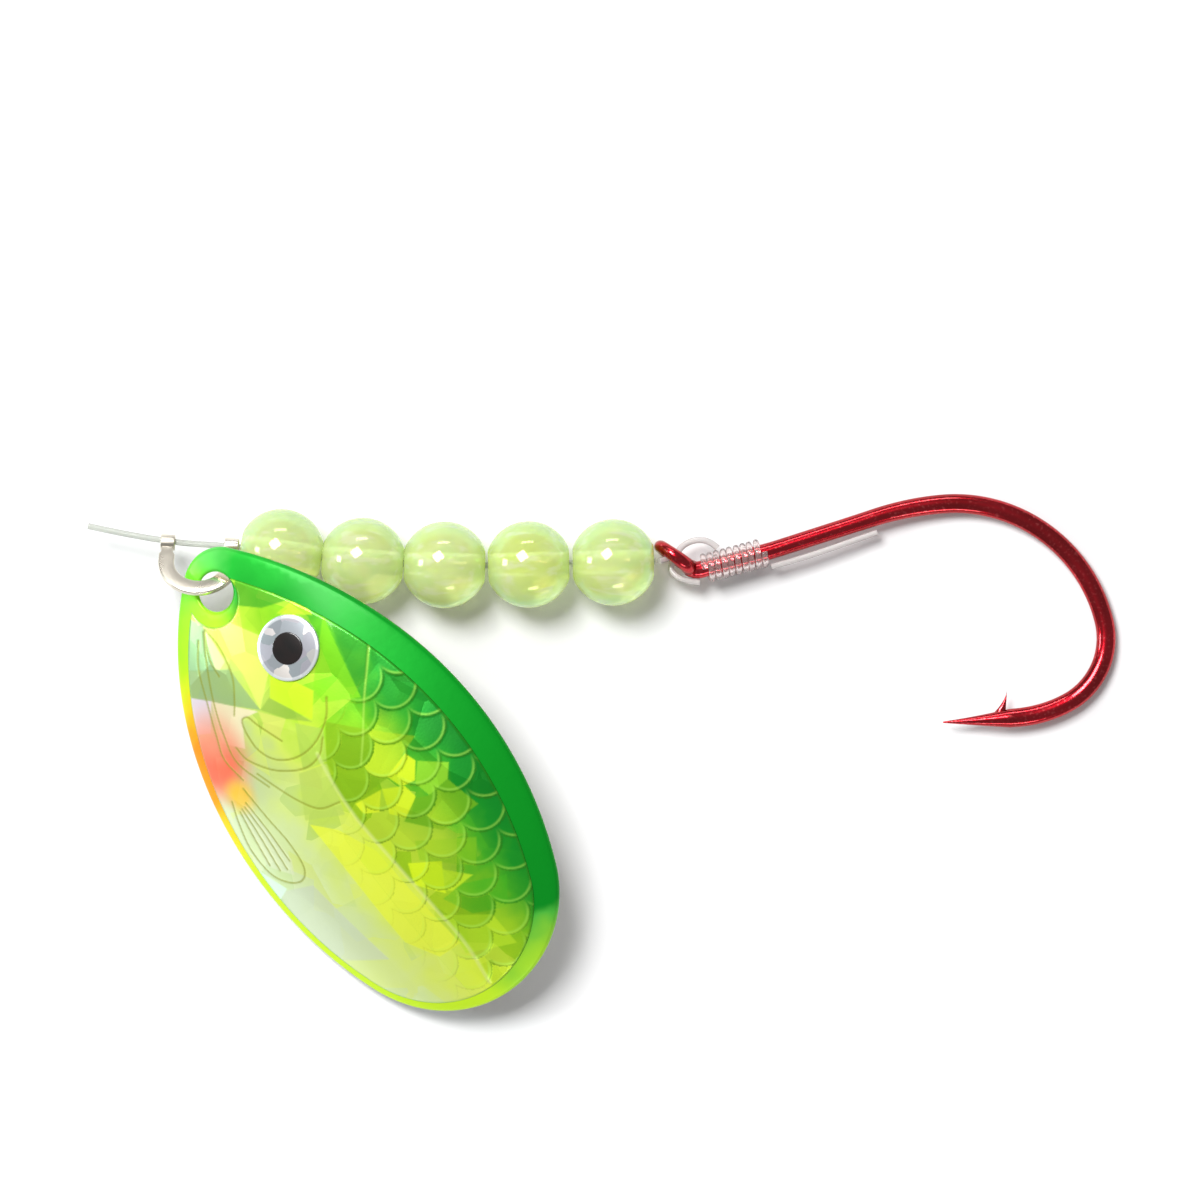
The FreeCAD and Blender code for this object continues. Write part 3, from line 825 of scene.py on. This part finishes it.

# The foil's straight-edged bright and dull shards: colour, cover and outline in the blade's frame.
# Their colours are partly the foil's own print and partly painted reflection, lighter and darker as each
# facet caught the light; the glint shards are painted highlights.
SHARDS = {
    "crown_dark": ((66, 168, 40), 0.8, [(2.6, 1.6), (5.1, 4.1), (6.2, 4.3), (5.5, 2.1), (4.3, 0.5)]),
    "crown_glint": ((208, 246, 60), 0.8, [(3.9, 3.1), (4.8, 4.0), (5.2, 3.3)]),
    "brow": ((216, 250, 56), 0.6, [(6.4, 2.8), (6.3, 4.2), (6.8, 4.8), (7.9, 4.9)]),
    "snout": ((236, 254, 112), 0.85, [(4.7, -1.6), (4.9, -0.6), (7.0, 1.0), (9.2, 0.4), (11.2, -1.9),
        (8.6, -1.6), (7.4, -1.7), (6.2, -2.0)]),
    "nose_grey": ((152, 200, 150), 0.8, [(3.0, -3.3), (4.1, -2.4), (7.4, -3.1), (6.2, -5.2)]),
    "nose_glint": ((240, 250, 184), 0.8, [(2.9, -2.7), (4.5, -1.6), (4.0, -2.7)]),
    "leaf_glint": ((238, 250, 168), 0.8, [(4.0, -2.3), (7.1, -2.3), (7.5, -3.4)]),
    "jaw_grey": ((146, 182, 124), 0.75, [(6.1, -5.3), (7.7, -2.3), (11.2, -1.9), (7.7, -6.4)]),
    "lip": ((240, 226, 242), 0.9, [(7.7, -6.4), (8.8, -4.9), (10.6, -6.4), (10.1, -7.6)]),
    "throat": ((255, 240, 200), 0.85, [(8.8, -4.9), (11.2, -2.1), (11.0, -3.5), (12.8, -4.6), (11.6, -6.0)]),
    "olive_band": ((152, 190, 76), 0.7, [(11.2, -1.9), (10.8, -0.7), (13.9, 0.9), (12.7, -0.6)]),
    "cheek_glint": ((228, 236, 112), 0.75, [(11.2, -2.1), (12.7, -0.6), (13.6, -1.9), (12.7, -2.4)]),
    "under_eye": ((216, 252, 46), 0.8, [(9.3, 0.4), (12.2, 2.2), (13.8, 1.0), (10.9, -0.8)]),
    "behind_eye": ((132, 218, 30), 0.65, [(8.3, 5.5), (14.4, 4.7), (13.2, 2.3), (12.0, 2.3)]),
    "nape": ((56, 152, 36), 0.65, [(8.2, 5.8), (11.3, 7.3), (14.8, 4.7), (14.4, 4.7)]),
    "cheek_pale": ((184, 220, 90), 0.75, [(13.3, -0.2), (14.7, 1.3), (16.7, 0.2), (16.3, -1.7)]),
    "chest_pale": ((190, 218, 100), 0.65, [(16.3, -2.1), (16.8, 0.1), (20.4, -1.0), (19.2, -3.8)]),
    "gill_cover": ((140, 190, 32), 0.8, [(14.4, 1.7), (18.7, 6.2), (20.0, 3.0), (20.1, 0.2), (16.8, 0.1)]),
    "dark_back": ((8, 140, 40), 0.35, [(20.2, 8.0), (23.1, 9.3), (29.7, 7.6), (27.9, 5.7), (22.8, 6.3)]),
    "first_scale": ((226, 248, 44), 0.85, [(19.9, 3.1), (19.3, 5.0), (20.1, 5.3), (21.2, 4.5), (21.0, 3.5)]),
    "second_scale": ((160, 226, 52), 0.7, [(20.2, 5.4), (21.5, 7.0), (22.4, 6.3), (22.6, 4.7), (21.4, 4.4)]),
    "third_scale": ((222, 246, 44), 0.85, [(20.4, 2.3), (21.1, 3.7), (22.1, 3.9), (23.2, 2.7), (22.1, 1.7)]),
    "fourth_scale": ((232, 250, 50), 0.85, [(20.2, 0.1), (20.4, 2.2), (21.6, 1.2), (21.1, 0.2)]),
    "flank_olive": ((112, 180, 32), 0.9, [(22.6, 4.7), (22.2, 3.8), (23.1, 2.2), (25.1, 4.0), (25.0, 6.9),
        (22.4, 6.3)]),
    "flank_lime": ((140, 206, 36), 0.5, [(24.6, 2.0), (26.8, 5.5), (28.4, 4.3), (25.9, 1.4)]),
    "low_bright": ((226, 255, 40), 0.9, [(25.6, 0.6), (26.8, 2.6), (28.8, 1.4), (27.1, 0.0)]),
    "low_pair": ((214, 250, 50), 0.7, [(27.3, 2.3), (28.8, 3.7), (28.9, 1.9), (28.6, 1.5)]),
    "low_dark": ((74, 186, 38), 0.6, [(28.9, 2.8), (30.1, 5.5), (32.0, 4.2), (31.0, 2.0), (29.0, 1.0)]),
    "end_bright": ((200, 242, 50), 0.6, [(29.9, 0.2), (31.8, 3.0), (34.4, 3.0), (33.0, -0.3)]),
    "belly_bright": ((242, 255, 72), 0.85, [(19.6, -3.7), (21.0, -2.1), (23.7, -0.7), (26.8, -0.5),
        (32.2, -0.1), (32.2, -2.0), (30.0, -3.4), (23.2, -3.5)]),
    "belly_pale": ((210, 222, 198), 0.6, [(22.2, -9.6), (23.2, -6.5), (30.4, -5.3), (27.9, -10.1)]),
    "fin_light": ((232, 240, 206), 0.5, [(15.9, -7.1), (20.9, -6.7), (21.9, -7.3), (20.4, -8.8),
        (16.2, -8.0)]),
    "mint": ((222, 255, 230), 0.85, [(20.2, -9.8), (22.4, -8.6), (22.8, -9.8), (21.1, -10.3)]),
}


def smooth_path(points, pieces=14):
    """Points of a smooth line through a few given ones."""
    knots = np.array(points, float)
    knots = np.vstack([2 * knots[0] - knots[1], knots, 2 * knots[-1] - knots[-2]])
    made = []
    for a, b, c, d in zip(knots, knots[1:], knots[2:], knots[3:]):
        for t in np.linspace(0, 1, pieces, endpoint=False):
            square, cube = 2 * a - 5 * b + 4 * c - d, 3 * b - a - 3 * c + d
            made.append(0.5 * (2 * b + (c - a) * t + square * t ** 2 + cube * t ** 3))
    made.append(knots[-2])
    return np.array(made)


def distance_to(path, x, y, reach=1.0):
    """Distance from each point to a line of short runs, where it is within reach."""
    best = np.full(x.shape, 99.0)
    for (ax, ay), (bx, by) in zip(path, path[1:]):
        near = (x > min(ax, bx) - reach) & (x < max(ax, bx) + reach)
        near &= (y > min(ay, by) - reach) & (y < max(ay, by) + reach)
        px, py = x[near] - ax, y[near] - ay
        run = max((bx - ax) ** 2 + (by - ay) ** 2, 1e-12)
        t = np.clip((px * (bx - ax) + py * (by - ay)) / run, 0, 1)
        best[near] = np.minimum(best[near], np.hypot(px - t * (bx - ax), py - t * (by - ay)))
    return best


def ease(value, low, high):
    """Goes smoothly from 0 to 1 while the value goes from low to high."""
    t = np.clip((value - low) / (high - low), 0, 1)
    return t * t * (3 - 2 * t)


def inside_of(outline, x, y):
    """Whether each point lies inside a closed outline."""
    inside = np.zeros(len(x), bool)
    for (ax, ay), (bx, by) in zip(outline, outline[1:] + outline[:1]):
        if ay != by:
            crosses = (ay > y) != (by > y)
            inside ^= crosses & (x < (bx - ax) * (y - ay) / (by - ay) + ax)
    return inside


def lay_shards(x, y):
    """The shards' cover at each point and their colour in it, later shards over earlier ones."""
    share = np.zeros(len(x))
    tint = np.zeros((len(x), 3))
    for colour, cover, outline in SHARDS.values():
        from_edge = distance_to(outline + outline[:1], x, y)
        signed = np.where(inside_of(outline, x, y), from_edge, -from_edge)
        mine = cover * ease(signed, -SHARD_EDGE, SHARD_EDGE)
        share = share * (1 - mine) + mine
        tint = tint * (1 - mine)[:, None] + np.outer(mine, paint_colour(colour))
    return share, tint


def scale_pattern(x, y):
    """For each point: its depth in its fish scale, its place along it, and a number for the scale."""
    depth = np.zeros(len(x))
    along = np.zeros(len(x))
    number = np.full(len(x), NO_SCALE)
    for row in SCALE_ROWS:
        offset = SCALE_ORIGIN[1] + (row % 2) * SCALE_GAP / 2
        column = np.round((y - offset) / SCALE_GAP)
        dx = x - (SCALE_ORIGIN[0] + row * SCALE_ROW)
        dy = y - offset - column * SCALE_GAP
        inside = SCALE_RADIUS - np.hypot(dx, dy * SCALE_SQUASH)
        mine = (inside > 0) & (number == NO_SCALE)
        depth[mine] = inside[mine]
        along[mine] = dx[mine]
        number[mine] = row * 7.31 + column[mine] * 3.17
    return depth, along, number


def stroke(path, x, y, inner, outer):
    """How much of a drawn line each point has: all within the inner distance, none past the outer."""
    return 1 - ease(distance_to(path, x, y), inner, outer)


def print_maps(x, y):
    """The foil's drawing at each of its points: ink, scale rims (printed outline with painted shade),
    painted highlights on the scales and the crease, painted shade at the foil's edge, shards, scale numbers
    and relief.
    """
    ink = np.zeros(len(x))
    for path in PRINT_LINES.values():
        ink = np.maximum(ink, stroke(smooth_path(path), x, y, LINE_WIDTH * 0.4, LINE_WIDTH * 1.6))
    lateral = stroke(smooth_path(LATERAL_LINE), x, y, 0.03, 0.12)
    crease_path = smooth_path(CREASE)
    # The crease is a low ridge in the relief; the pale line on it in the colour is a painted highlight.
    crease_ridge_and_highlight = stroke(crease_path, x, y, 0.02, 0.22)
    depth, along, number = scale_pattern(x, y)
    back_scales = ease(x + 0.55 * y, 15.6, 17.6) * ease(y, -0.9, 0.3)
    belly_scales = 0.35 * ease(x, 19, 22) * ease(y, -4.2, -1.5)
    zone = np.clip(back_scales + belly_scales, 0, 1) * (number > NO_SCALE)
    # The dark line at each scale's edge: partly a printed outline, partly painted shade in the groove that
    # the relief cuts there.
    rim = (1 - ease(depth, 0.02, 0.13)) * zone
    # Painted highlight: a light band just inside each scale's edge, toward its tail.
    painted_glint = ease(depth, 0.09, 0.16) * (1 - ease(depth, 0.2, 0.34)) * ease(along, 0.0, 1.2) * zone
    relief = SCALE_LIFT * ease(along, -0.6, 1.7) * zone - INK_DEPTH * ink - RIM_DEPTH * rim
    relief += CREASE_LIFT * crease_ridge_and_highlight - LATERAL_DEPTH * lateral
    share, tint = lay_shards(x, y)
    return {
        "shard_share": share,
        "shard_tint": tint,
        # Painted shade: the foil darkened toward the lacquer's green along its edge.
        "foil_edge_shade": 1 - ease(foil_depth(x, y), 0.03, 0.16),
        "ink": ink,
        "scale_outline_shade": rim,
        "scale_painted_glint": painted_glint,
        "scale_number": np.where(zone > 0.3, number, NO_SCALE),
        "crease_ridge_and_highlight": crease_ridge_and_highlight,
        "back_side": ease(y - np.interp(x, *crease_path.T), -0.08, 0.08),
        "lateral": lateral,
    }, relief


def foil_print():
    """Holographic foil printed as a bait fish: bright facets under a green to silver fade.

    In order: the fade from back to belly, facets painted lighter and darker (painted reflection), shards
    (partly print, partly painted reflection and painted highlights), the coral throat, single scales painted
    brighter or duller (painted highlight and painted shade), then the drawn lines, with painted highlights
    on the scales and the crease and painted shade on the scale rims and along the foil's edge.
    """
    paint = Paint("foil_print", metallic=0.34, roughness=0.32, specular=0.2, coat=0.25, coat_roughness=0.05)
    flat = paint.vector("MULTIPLY", paint.attribute("spot", "Vector"), (1.0, 1.0, 0.0))
    x, y = paint.split(flat)[:2]
    across = paint.math("ADD", y, paint.rise(paint.noise(flat, 0.45, 2.0), 0.25, 0.75, -0.8, 0.8))
    belly = paint.ramp(across, [
        (-9.6, (222, 240, 190)), (-5.5, (220, 238, 160)), (-2.6, (226, 245, 110)), (0.0, (226, 246, 80)),
    ], -10.0, 10.0)
    back = paint.ramp(across, [
        (-0.2, (158, 200, 36)), (1.6, (160, 208, 34)), (3.4, (128, 196, 34)), (5.0, (72, 174, 38)),
        (6.8, (30, 150, 40)), (9.4, (8, 132, 42)),
    ], -10.0, 10.0)
    tail = paint.mix(paint.attribute("back_side"), belly, back)
    head = paint.ramp(across, [
        (-9.0, (225, 238, 195)), (-6.0, (205, 220, 165)), (-4.0, (205, 225, 140)), (-1.8, (222, 244, 105)),
        (0.2, (190, 236, 60)), (2.2, (150, 222, 42)), (4.4, (96, 190, 36)), (6.4, (38, 150, 40)),
        (9.4, (16, 134, 44)),
    ], -10.0, 10.0)
    colour = paint.mix(paint.rise(x, 15.2, 17.6), head, tail)

    # The facets are painted lighter and darker cell by cell: painted reflection, standing for facets that
    # catch the light at different angles.
    facets = paint.cells(paint.vector("MULTIPLY", flat, (0.55, 1.0, 1.0)), 0.40)
    splinters = paint.cells(paint.vector("MULTIPLY", flat, (1.0, 0.62, 1.0)), 0.36)
    halves = [paint.math("MULTIPLY", paint.split(cells, "Color")[0], 0.5) for cells in (facets, splinters)]
    light = paint.math("ADD", *halves)
    colour = paint.tint(paint.rise(light, 0.4, 0.15, 0.0, 0.3), colour, (110, 180, 70), "MULTIPLY")
    # Painted highlight on the brightest facets, kept to the belly side.
    facet_highlight = paint.math("MULTIPLY", paint.rise(light, 0.62, 0.65, 0.0, 0.3), paint.rise(y, 5.5, 3.5))
    colour = paint.tint(facet_highlight, colour, (236, 250, 84))
    covered = paint.tint(paint.attribute("shard_share"), colour, (0, 0, 0))
    colour = paint.vector("ADD", covered, paint.attribute("shard_tint", "Vector"))

    for centre, reach, soft, share, tint in (
        ((12.3, -7.5, 0), 2.0, 1.9, 0.95, (255, 112, 84)),
        ((10.6, -6.2, 0), 1.2, 1.6, 0.5, (255, 186, 150)),
        ((15.3, -7.2, 0), 0.7, 1.0, 0.85, (250, 200, 50)),
    ):
        near = paint.vector("DISTANCE", flat, centre)
        colour = paint.tint(paint.rise(near, reach + soft, reach * 0.6, 0.0, share), colour, tint)

    number = paint.attribute("scale_number")
    chance = paint.node("TexWhiteNoise", {"W": number}, noise_dimensions="1D")["Value"]
    on_scale = paint.rise(number, -50.0, -40.0)
    # Some scales picked at random are painted brighter, a painted highlight kept off the dark back, and
    # others duller, painted shade, as scales that catch the light and scales that don't.
    lit_scale_highlight = paint.math("MULTIPLY", paint.rise(chance, 0.76, 0.9, 0.0, 0.6), on_scale)
    lit_scale_highlight = paint.math("MULTIPLY", lit_scale_highlight, paint.rise(y, 6.5, 3.0))
    colour = paint.tint(lit_scale_highlight, colour, (222, 250, 55))
    dull_scale_shade = paint.math("MULTIPLY", paint.rise(chance, 0.35, 0.1, 0.0, 0.35), on_scale)
    colour = paint.tint(dull_scale_shade, colour, (120, 180, 60), "MULTIPLY")

    for name, share, tint in (
        # printed scale outline with painted shade in its groove
        ("scale_outline_shade", 0.55, (60, 120, 16)),
        # painted highlight along each scale
        ("scale_painted_glint", 0.34, (190, 255, 100)),
        ("ink", 0.7, (150, 156, 44)),
        ("lateral", 0.35, (200, 245, 100)),
        # painted highlight along the crease
        ("crease_ridge_and_highlight", 0.35, (244, 250, 170)),
        # painted shade along the foil's edge
        ("foil_edge_shade", 0.45, (60, 150, 30)),
    ):
        colour = paint.tint(paint.math("MULTIPLY", paint.attribute(name), share), colour, tint)
    paint.out("base", colour)
    paint.grain(flat, 6.0, 0.00002, 0.2, normal=paint.tilted(facets, 0.18))
    return paint


def make_foil(place):
    """The printed foil as a thin sheet on the crown, with its scales and lines in relief."""
    loops = [foil_loop(inset, FOIL_STEP) for inset in FOIL_ROUNDING]
    rounded = FOIL_ROUNDING[-1]
    flat, faces = fill(loops, foil_depth, FOIL_GRID, rounded + FOIL_GRID_GAP)
    x, y = flat.T
    depth = foil_depth(x, y)
    maps, relief = print_maps(x, y)
    top = crown(x, y) + ease(depth, 0.0, rounded) * (FOIL_SHEET + relief) + FOIL_LIFT
    rim = depth < 10 * ON_EDGE
    points, faces = two_sided(flat, faces, top, crown(x, y) - FOIL_SUNK, rim)
    foil = make_mesh("foil_print_sheet", points, faces, place)
    set_values(foil, "spot", points)
    free = np.where(~rim)[0]
    for name, values in maps.items():
        set_values(foil, name, np.concatenate([values, values[free]]))
    settle(foil, "blade", "foil", foil_print(), "foil")


# --- Eye ---


def disc_on_crown(radius, low, high, dome, edge):
    """The rings of a disc that follows the crown, with a rounded edge and a slight dome."""
    turns = full_turn(96)
    stations = [(radius * 0.5, low), (radius, low)]
    for step in (0, 22.5, 45, 67.5, 90):
        angle = math.radians(step)
        stations.append((radius - edge * (1 - math.cos(angle)), high - edge * (1 - math.sin(angle))))
    for share in np.linspace(1, 0.02, 14)[1:]:
        stations.append(((radius - edge) * share, high + dome * (1 - share ** 2)))
    rings = []
    for distance, height in stations:
        x = EYE_CENTRE[0] + distance * np.cos(turns)
        y = EYE_CENTRE[1] + distance * np.sin(turns)
        rings.append(np.stack([x, y, crown(x, y, height)], 1))
    return rings


def eye_silver():
    """Silver stick-on eye: holographic wedges, lavender and white, with a white rim."""
    paint = Paint("eye_silver", metallic=0.55, roughness=0.25, coat=1.0, coat_roughness=0.04)
    spot = paint.vector("SUBTRACT", paint.attribute("spot", "Vector"), (*EYE_CENTRE, 0.0))
    flat = paint.vector("MULTIPLY", spot, (1.0, 1.0, 0.0))
    cells = paint.cells(flat, 0.75, "MANHATTAN")
    colour = paint.ramp(paint.split(cells, "Color")[0], [
        (0.0, (164, 172, 176)), (0.3, (178, 184, 190)), (0.5, (196, 190, 202)), (0.7, (220, 218, 220)),
        (0.85, (246, 230, 220)), (1.0, (180, 200, 204)),
    ])
    out = paint.vector("LENGTH", flat)
    colour = paint.tint(paint.rise(out, 1.95, 2.05, 0.0, 0.85), colour, (246, 250, 252))
    colour = paint.tint(paint.rise(out, 2.16, 2.24, 0.0, 0.6), colour, (150, 175, 150))
    paint.out("base", colour)
    paint.out("Normal", paint.tilted(cells, 0.2))
    return paint


def pupil_black():
    """Glossy black print, a little brown in places."""
    paint = Paint("pupil_black", roughness=0.2, coat=1.0, coat_roughness=0.03)
    place = paint.place()
    paint.out("base", paint.ramp(paint.noise(place, 900), [(0.3, (14, 12, 12)), (0.8, (34, 20, 18))]))
    paint.grain(place, 3000, 0.00001, 0.2)
    return paint


def make_eye(place):
    """The stick-on eye on the foil, with its pupil on top."""
    base = FOIL_SHEET
    points, faces = skin(disc_on_crown(EYE_RADIUS, base - 0.02, base + EYE_HEIGHT, 0.03, 0.09))
    eye = make_mesh("fish_eye", points, faces, place)
    set_values(eye, "spot", points)
    settle(eye, "blade", "silver", eye_silver(), "eye")
    base += EYE_HEIGHT
    points, faces = skin(disc_on_crown(PUPIL_RADIUS, base, base + PUPIL_HEIGHT, 0.03, 0.05))
    pupil = make_mesh("fish_pupil", points, faces, place)
    settle(pupil, "blade", "black", pupil_black(), "pupil")


# --- Hook and snell ---


def hook_place():
    """The hook's frame: the middle of its eye, and the plane of its wire, tilted to rest on the table."""
    heading = math.radians(HOOK_TILT_HEADING)
    axis = Vector((-math.sin(heading), math.cos(heading), 0))
    turn = Matrix.Rotation(math.radians(HOOK_TILT), 4, axis)
    return Matrix.Translation(Vector(HOOK_EYE_CENTRE) * 0.001) @ turn


def toward(angle):
    """Unit directions at an angle in the hook's plane and a quarter turn to its left."""
    ahead = np.array([math.cos(angle), math.sin(angle), 0])
    return ahead, np.array([-ahead[1], ahead[0], 0])


def hook_course():
    """The wire's middle line in the hook's plane, with the start and heading of each of its steps."""
    heading = math.radians(HOOK_EYE_TURN)
    here = toward(heading)[0] * HOOK_EYE_RADIUS
    points = [here]
    marks = []
    for kind, size, *degrees in HOOK_STEPS:
        marks.append((here, heading))
        ahead, left = toward(heading)
        if kind == "line":
            pieces = max(2, int(size / LINE_STEP))
            points += [here + ahead * size * k / pieces for k in range(1, pieces + 1)]
        else:
            turn = math.radians(degrees[0])
            hand = math.copysign(1, turn)
            centre = here + left * size * hand
            pieces = max(4, int(abs(turn) * size / ARC_STEP))
            for k in range(1, pieces + 1):
                points.append(centre - toward(heading + turn * k / pieces)[1] * size * hand)
            heading += turn
        here = points[-1]
    marks.append((here, heading))
    return np.array(points), marks


def candy_red():
    """Transparent red lacquer over bright steel, deeper where the wire turns away."""
    paint = Paint("candy_red", metallic=1.0, roughness=0.22, coat=0.7, coat_roughness=0.08,
                  edge=(0.52, 0.14, 0.18))
    place = paint.place()
    cloud = paint.noise(place, 240)
    colour = paint.ramp(cloud, [(0.3, (162, 12, 27)), (0.55, (190, 24, 40)), (0.8, (208, 52, 64))])
    flakes = paint.rise(paint.noise(place, 5200, 2.0), 0.55, 0.75, 0.0, 0.5)
    paint.out("base", paint.tint(flakes, colour, (246, 110, 112)))
    paint.grain(place, 1500, 0.00002, 0.25)
    return paint


def wire_rings():
    """The rings of the wire from the eye to the point, forged a little flat round the bend."""
    course, marks = hook_course()
    end, heading = marks[-1]
    ahead, left = toward(heading)
    shares = np.linspace(0, 1, 26)[1:]
    point = [end + ahead * POINT_LENGTH * s - left * POINT_CURL * s ** 2 for s in shares]
    path = np.vstack([course, point])
    radii = np.full(len(path), HOOK_WIRE_RADIUS)
    radii[len(course):] = HOOK_WIRE_RADIUS + (POINT_RADIUS - HOOK_WIRE_RADIUS) * shares
    run = np.concatenate([[0], np.cumsum(np.linalg.norm(np.diff(path, axis=0), axis=1))])
    fade = ease(run, run[-1] - POINT_LENGTH - FORGED_FADE, run[-1] - FORGED_TIP)
    forged = ease(run, *FORGED_RISE) * (1 - fade)
    widen = 1 + forged * (FORGED_HALF_WIDTH / HOOK_WIRE_RADIUS - 1)
    flatten = 1 + forged * (FORGED_HALF_THICKNESS / HOOK_WIRE_RADIUS - 1)
    return round_bar(path, radii, 40, widen, flatten)


def eye_rings():
    """The rings of the hook's eye, an almost closed loop that thins toward its end."""
    angles = np.radians(np.linspace(0, HOOK_EYE_SWEEP[-1], 90))
    ahead = toward(math.radians(HOOK_EYE_TURN))[0]
    ring = np.outer(np.cos(angles), ahead) + np.outer(np.sin(angles), (0, 0, 1))
    radii = np.interp(np.degrees(angles), HOOK_EYE_SWEEP, HOOK_EYE_TAPER)
    return round_bar(ring * HOOK_EYE_RADIUS, radii, 32)


def barb_rings(start, heading):
    """The rings of the barb, a thin blade raised from the wire that leans back from the point."""
    ahead, left = toward(heading)
    turns = full_turn(24)
    low, high = BARB_HEIGHTS
    rings = []
    for share in np.linspace(0, 0.985, 14):
        length = BARB_LENGTH * (1 - share) ** 1.8 + 0.012
        thick = BARB_HALF_THICKNESS * (1 - share) ** 0.8 + 0.01
        centre = start + ahead * (BARB_LEAN * (1 - share) + length / 2) - left * (low + (high - low) * share)
        ring = np.outer(np.cos(turns) * length / 2, ahead) + np.outer(np.sin(turns) * thick, (0, 0, 1))
        rings.append(centre + ring)
    return rings


def make_hook():
    """Wire, turned-up ringed eye, tapered point and barb, fused into one forging."""
    hook = make_solid("hook_wire", *skin(wire_rings()))
    join_solids(hook, make_solid("hook_eye", *skin(eye_rings())))
    join_solids(hook, make_solid("hook_barb", *skin(barb_rings(*hook_course()[1][-1]))))
    bring(hook, hook_place())
    soften(hook, 50)
    settle(hook, "hook", "red_hook", candy_red(), "hook")


def make_wraps(paint):
    """Nine close turns of line round the shank, each a little uneven."""
    start, heading = hook_course()[1][1]
    ahead, left = toward(heading)
    turns = np.linspace(0, WRAP_TURNS * 2 * math.pi, WRAP_TURNS * 48)
    wobble = 0.02 * np.sin(turns * 0.37 + 0.8) + 0.012 * np.sin(turns * 1.9)
    radius = WRAP_RADIUS + 0.012 * np.sin(turns * 0.5)
    path = (start + ahead * WRAP_START + np.outer(turns / (2 * math.pi) * WRAP_PITCH + wobble, ahead)
            + np.outer(radius * np.sin(turns), left) + np.outer(radius * np.cos(turns), (0, 0, 1)))
    wraps = make_mesh("snell_turns", *skin(round_bar(path, LINE_DIAMETER / 2, 16)), hook_place())
    settle(wraps, "hook", "line", paint, "snell_wraps")


STRANDS = {
    "bait_loop": [(-1.16, -0.31, 1.16), (-0.02, 0.00, 0.22), (0.50, 0.80, 0.02), (1.45, 1.22, 0.0),
                  (2.45, 1.10, 0.0), (2.95, 0.62, 0.0)],
    "eye_strand": [(0.18, 0.10, -0.38), (-0.38, -0.62, -0.36), (-0.02, -1.30, -0.20),
                   (0.90, -1.68, -0.05), (1.72, -1.76, 0.0)],
    "tag_end": [(6.66, -0.66, -0.02), (8.60, -0.14, -0.02), (11.50, 0.84, 0.04), (14.00, 1.72, 0.0)],
}


def make_strands(paint):
    """The snell's short strands: the arch over the eye, the one under it, and the cut tag end."""
    for name, points in STRANDS.items():
        strand = line_curve(name + "_line", points, hook_place() @ MM)
        settle(strand, "hook", "line", paint, name)


scene = bpy.context.scene
scene.view_settings.view_transform = "Standard"
make_camera()
make_leader(clear_line("leader_nylon", (214, 217, 208), (52, 55, 53), 0.4))
make_strands(clear_line("strand_nylon", (236, 230, 228), (120, 112, 110), 0.36))
make_wraps(clear_line("snell_nylon", (250, 236, 234), (190, 150, 150), 0.88))
bead_paint = bead_plastic()
for bead_number in range(1, BEAD_COUNT + 1):
    make_bead(bead_number, bead_paint)
make_clevis()
make_blade(blade_place())
make_foil(blade_place())
make_eye(blade_place())
make_hook()
make_lights()
make_table()
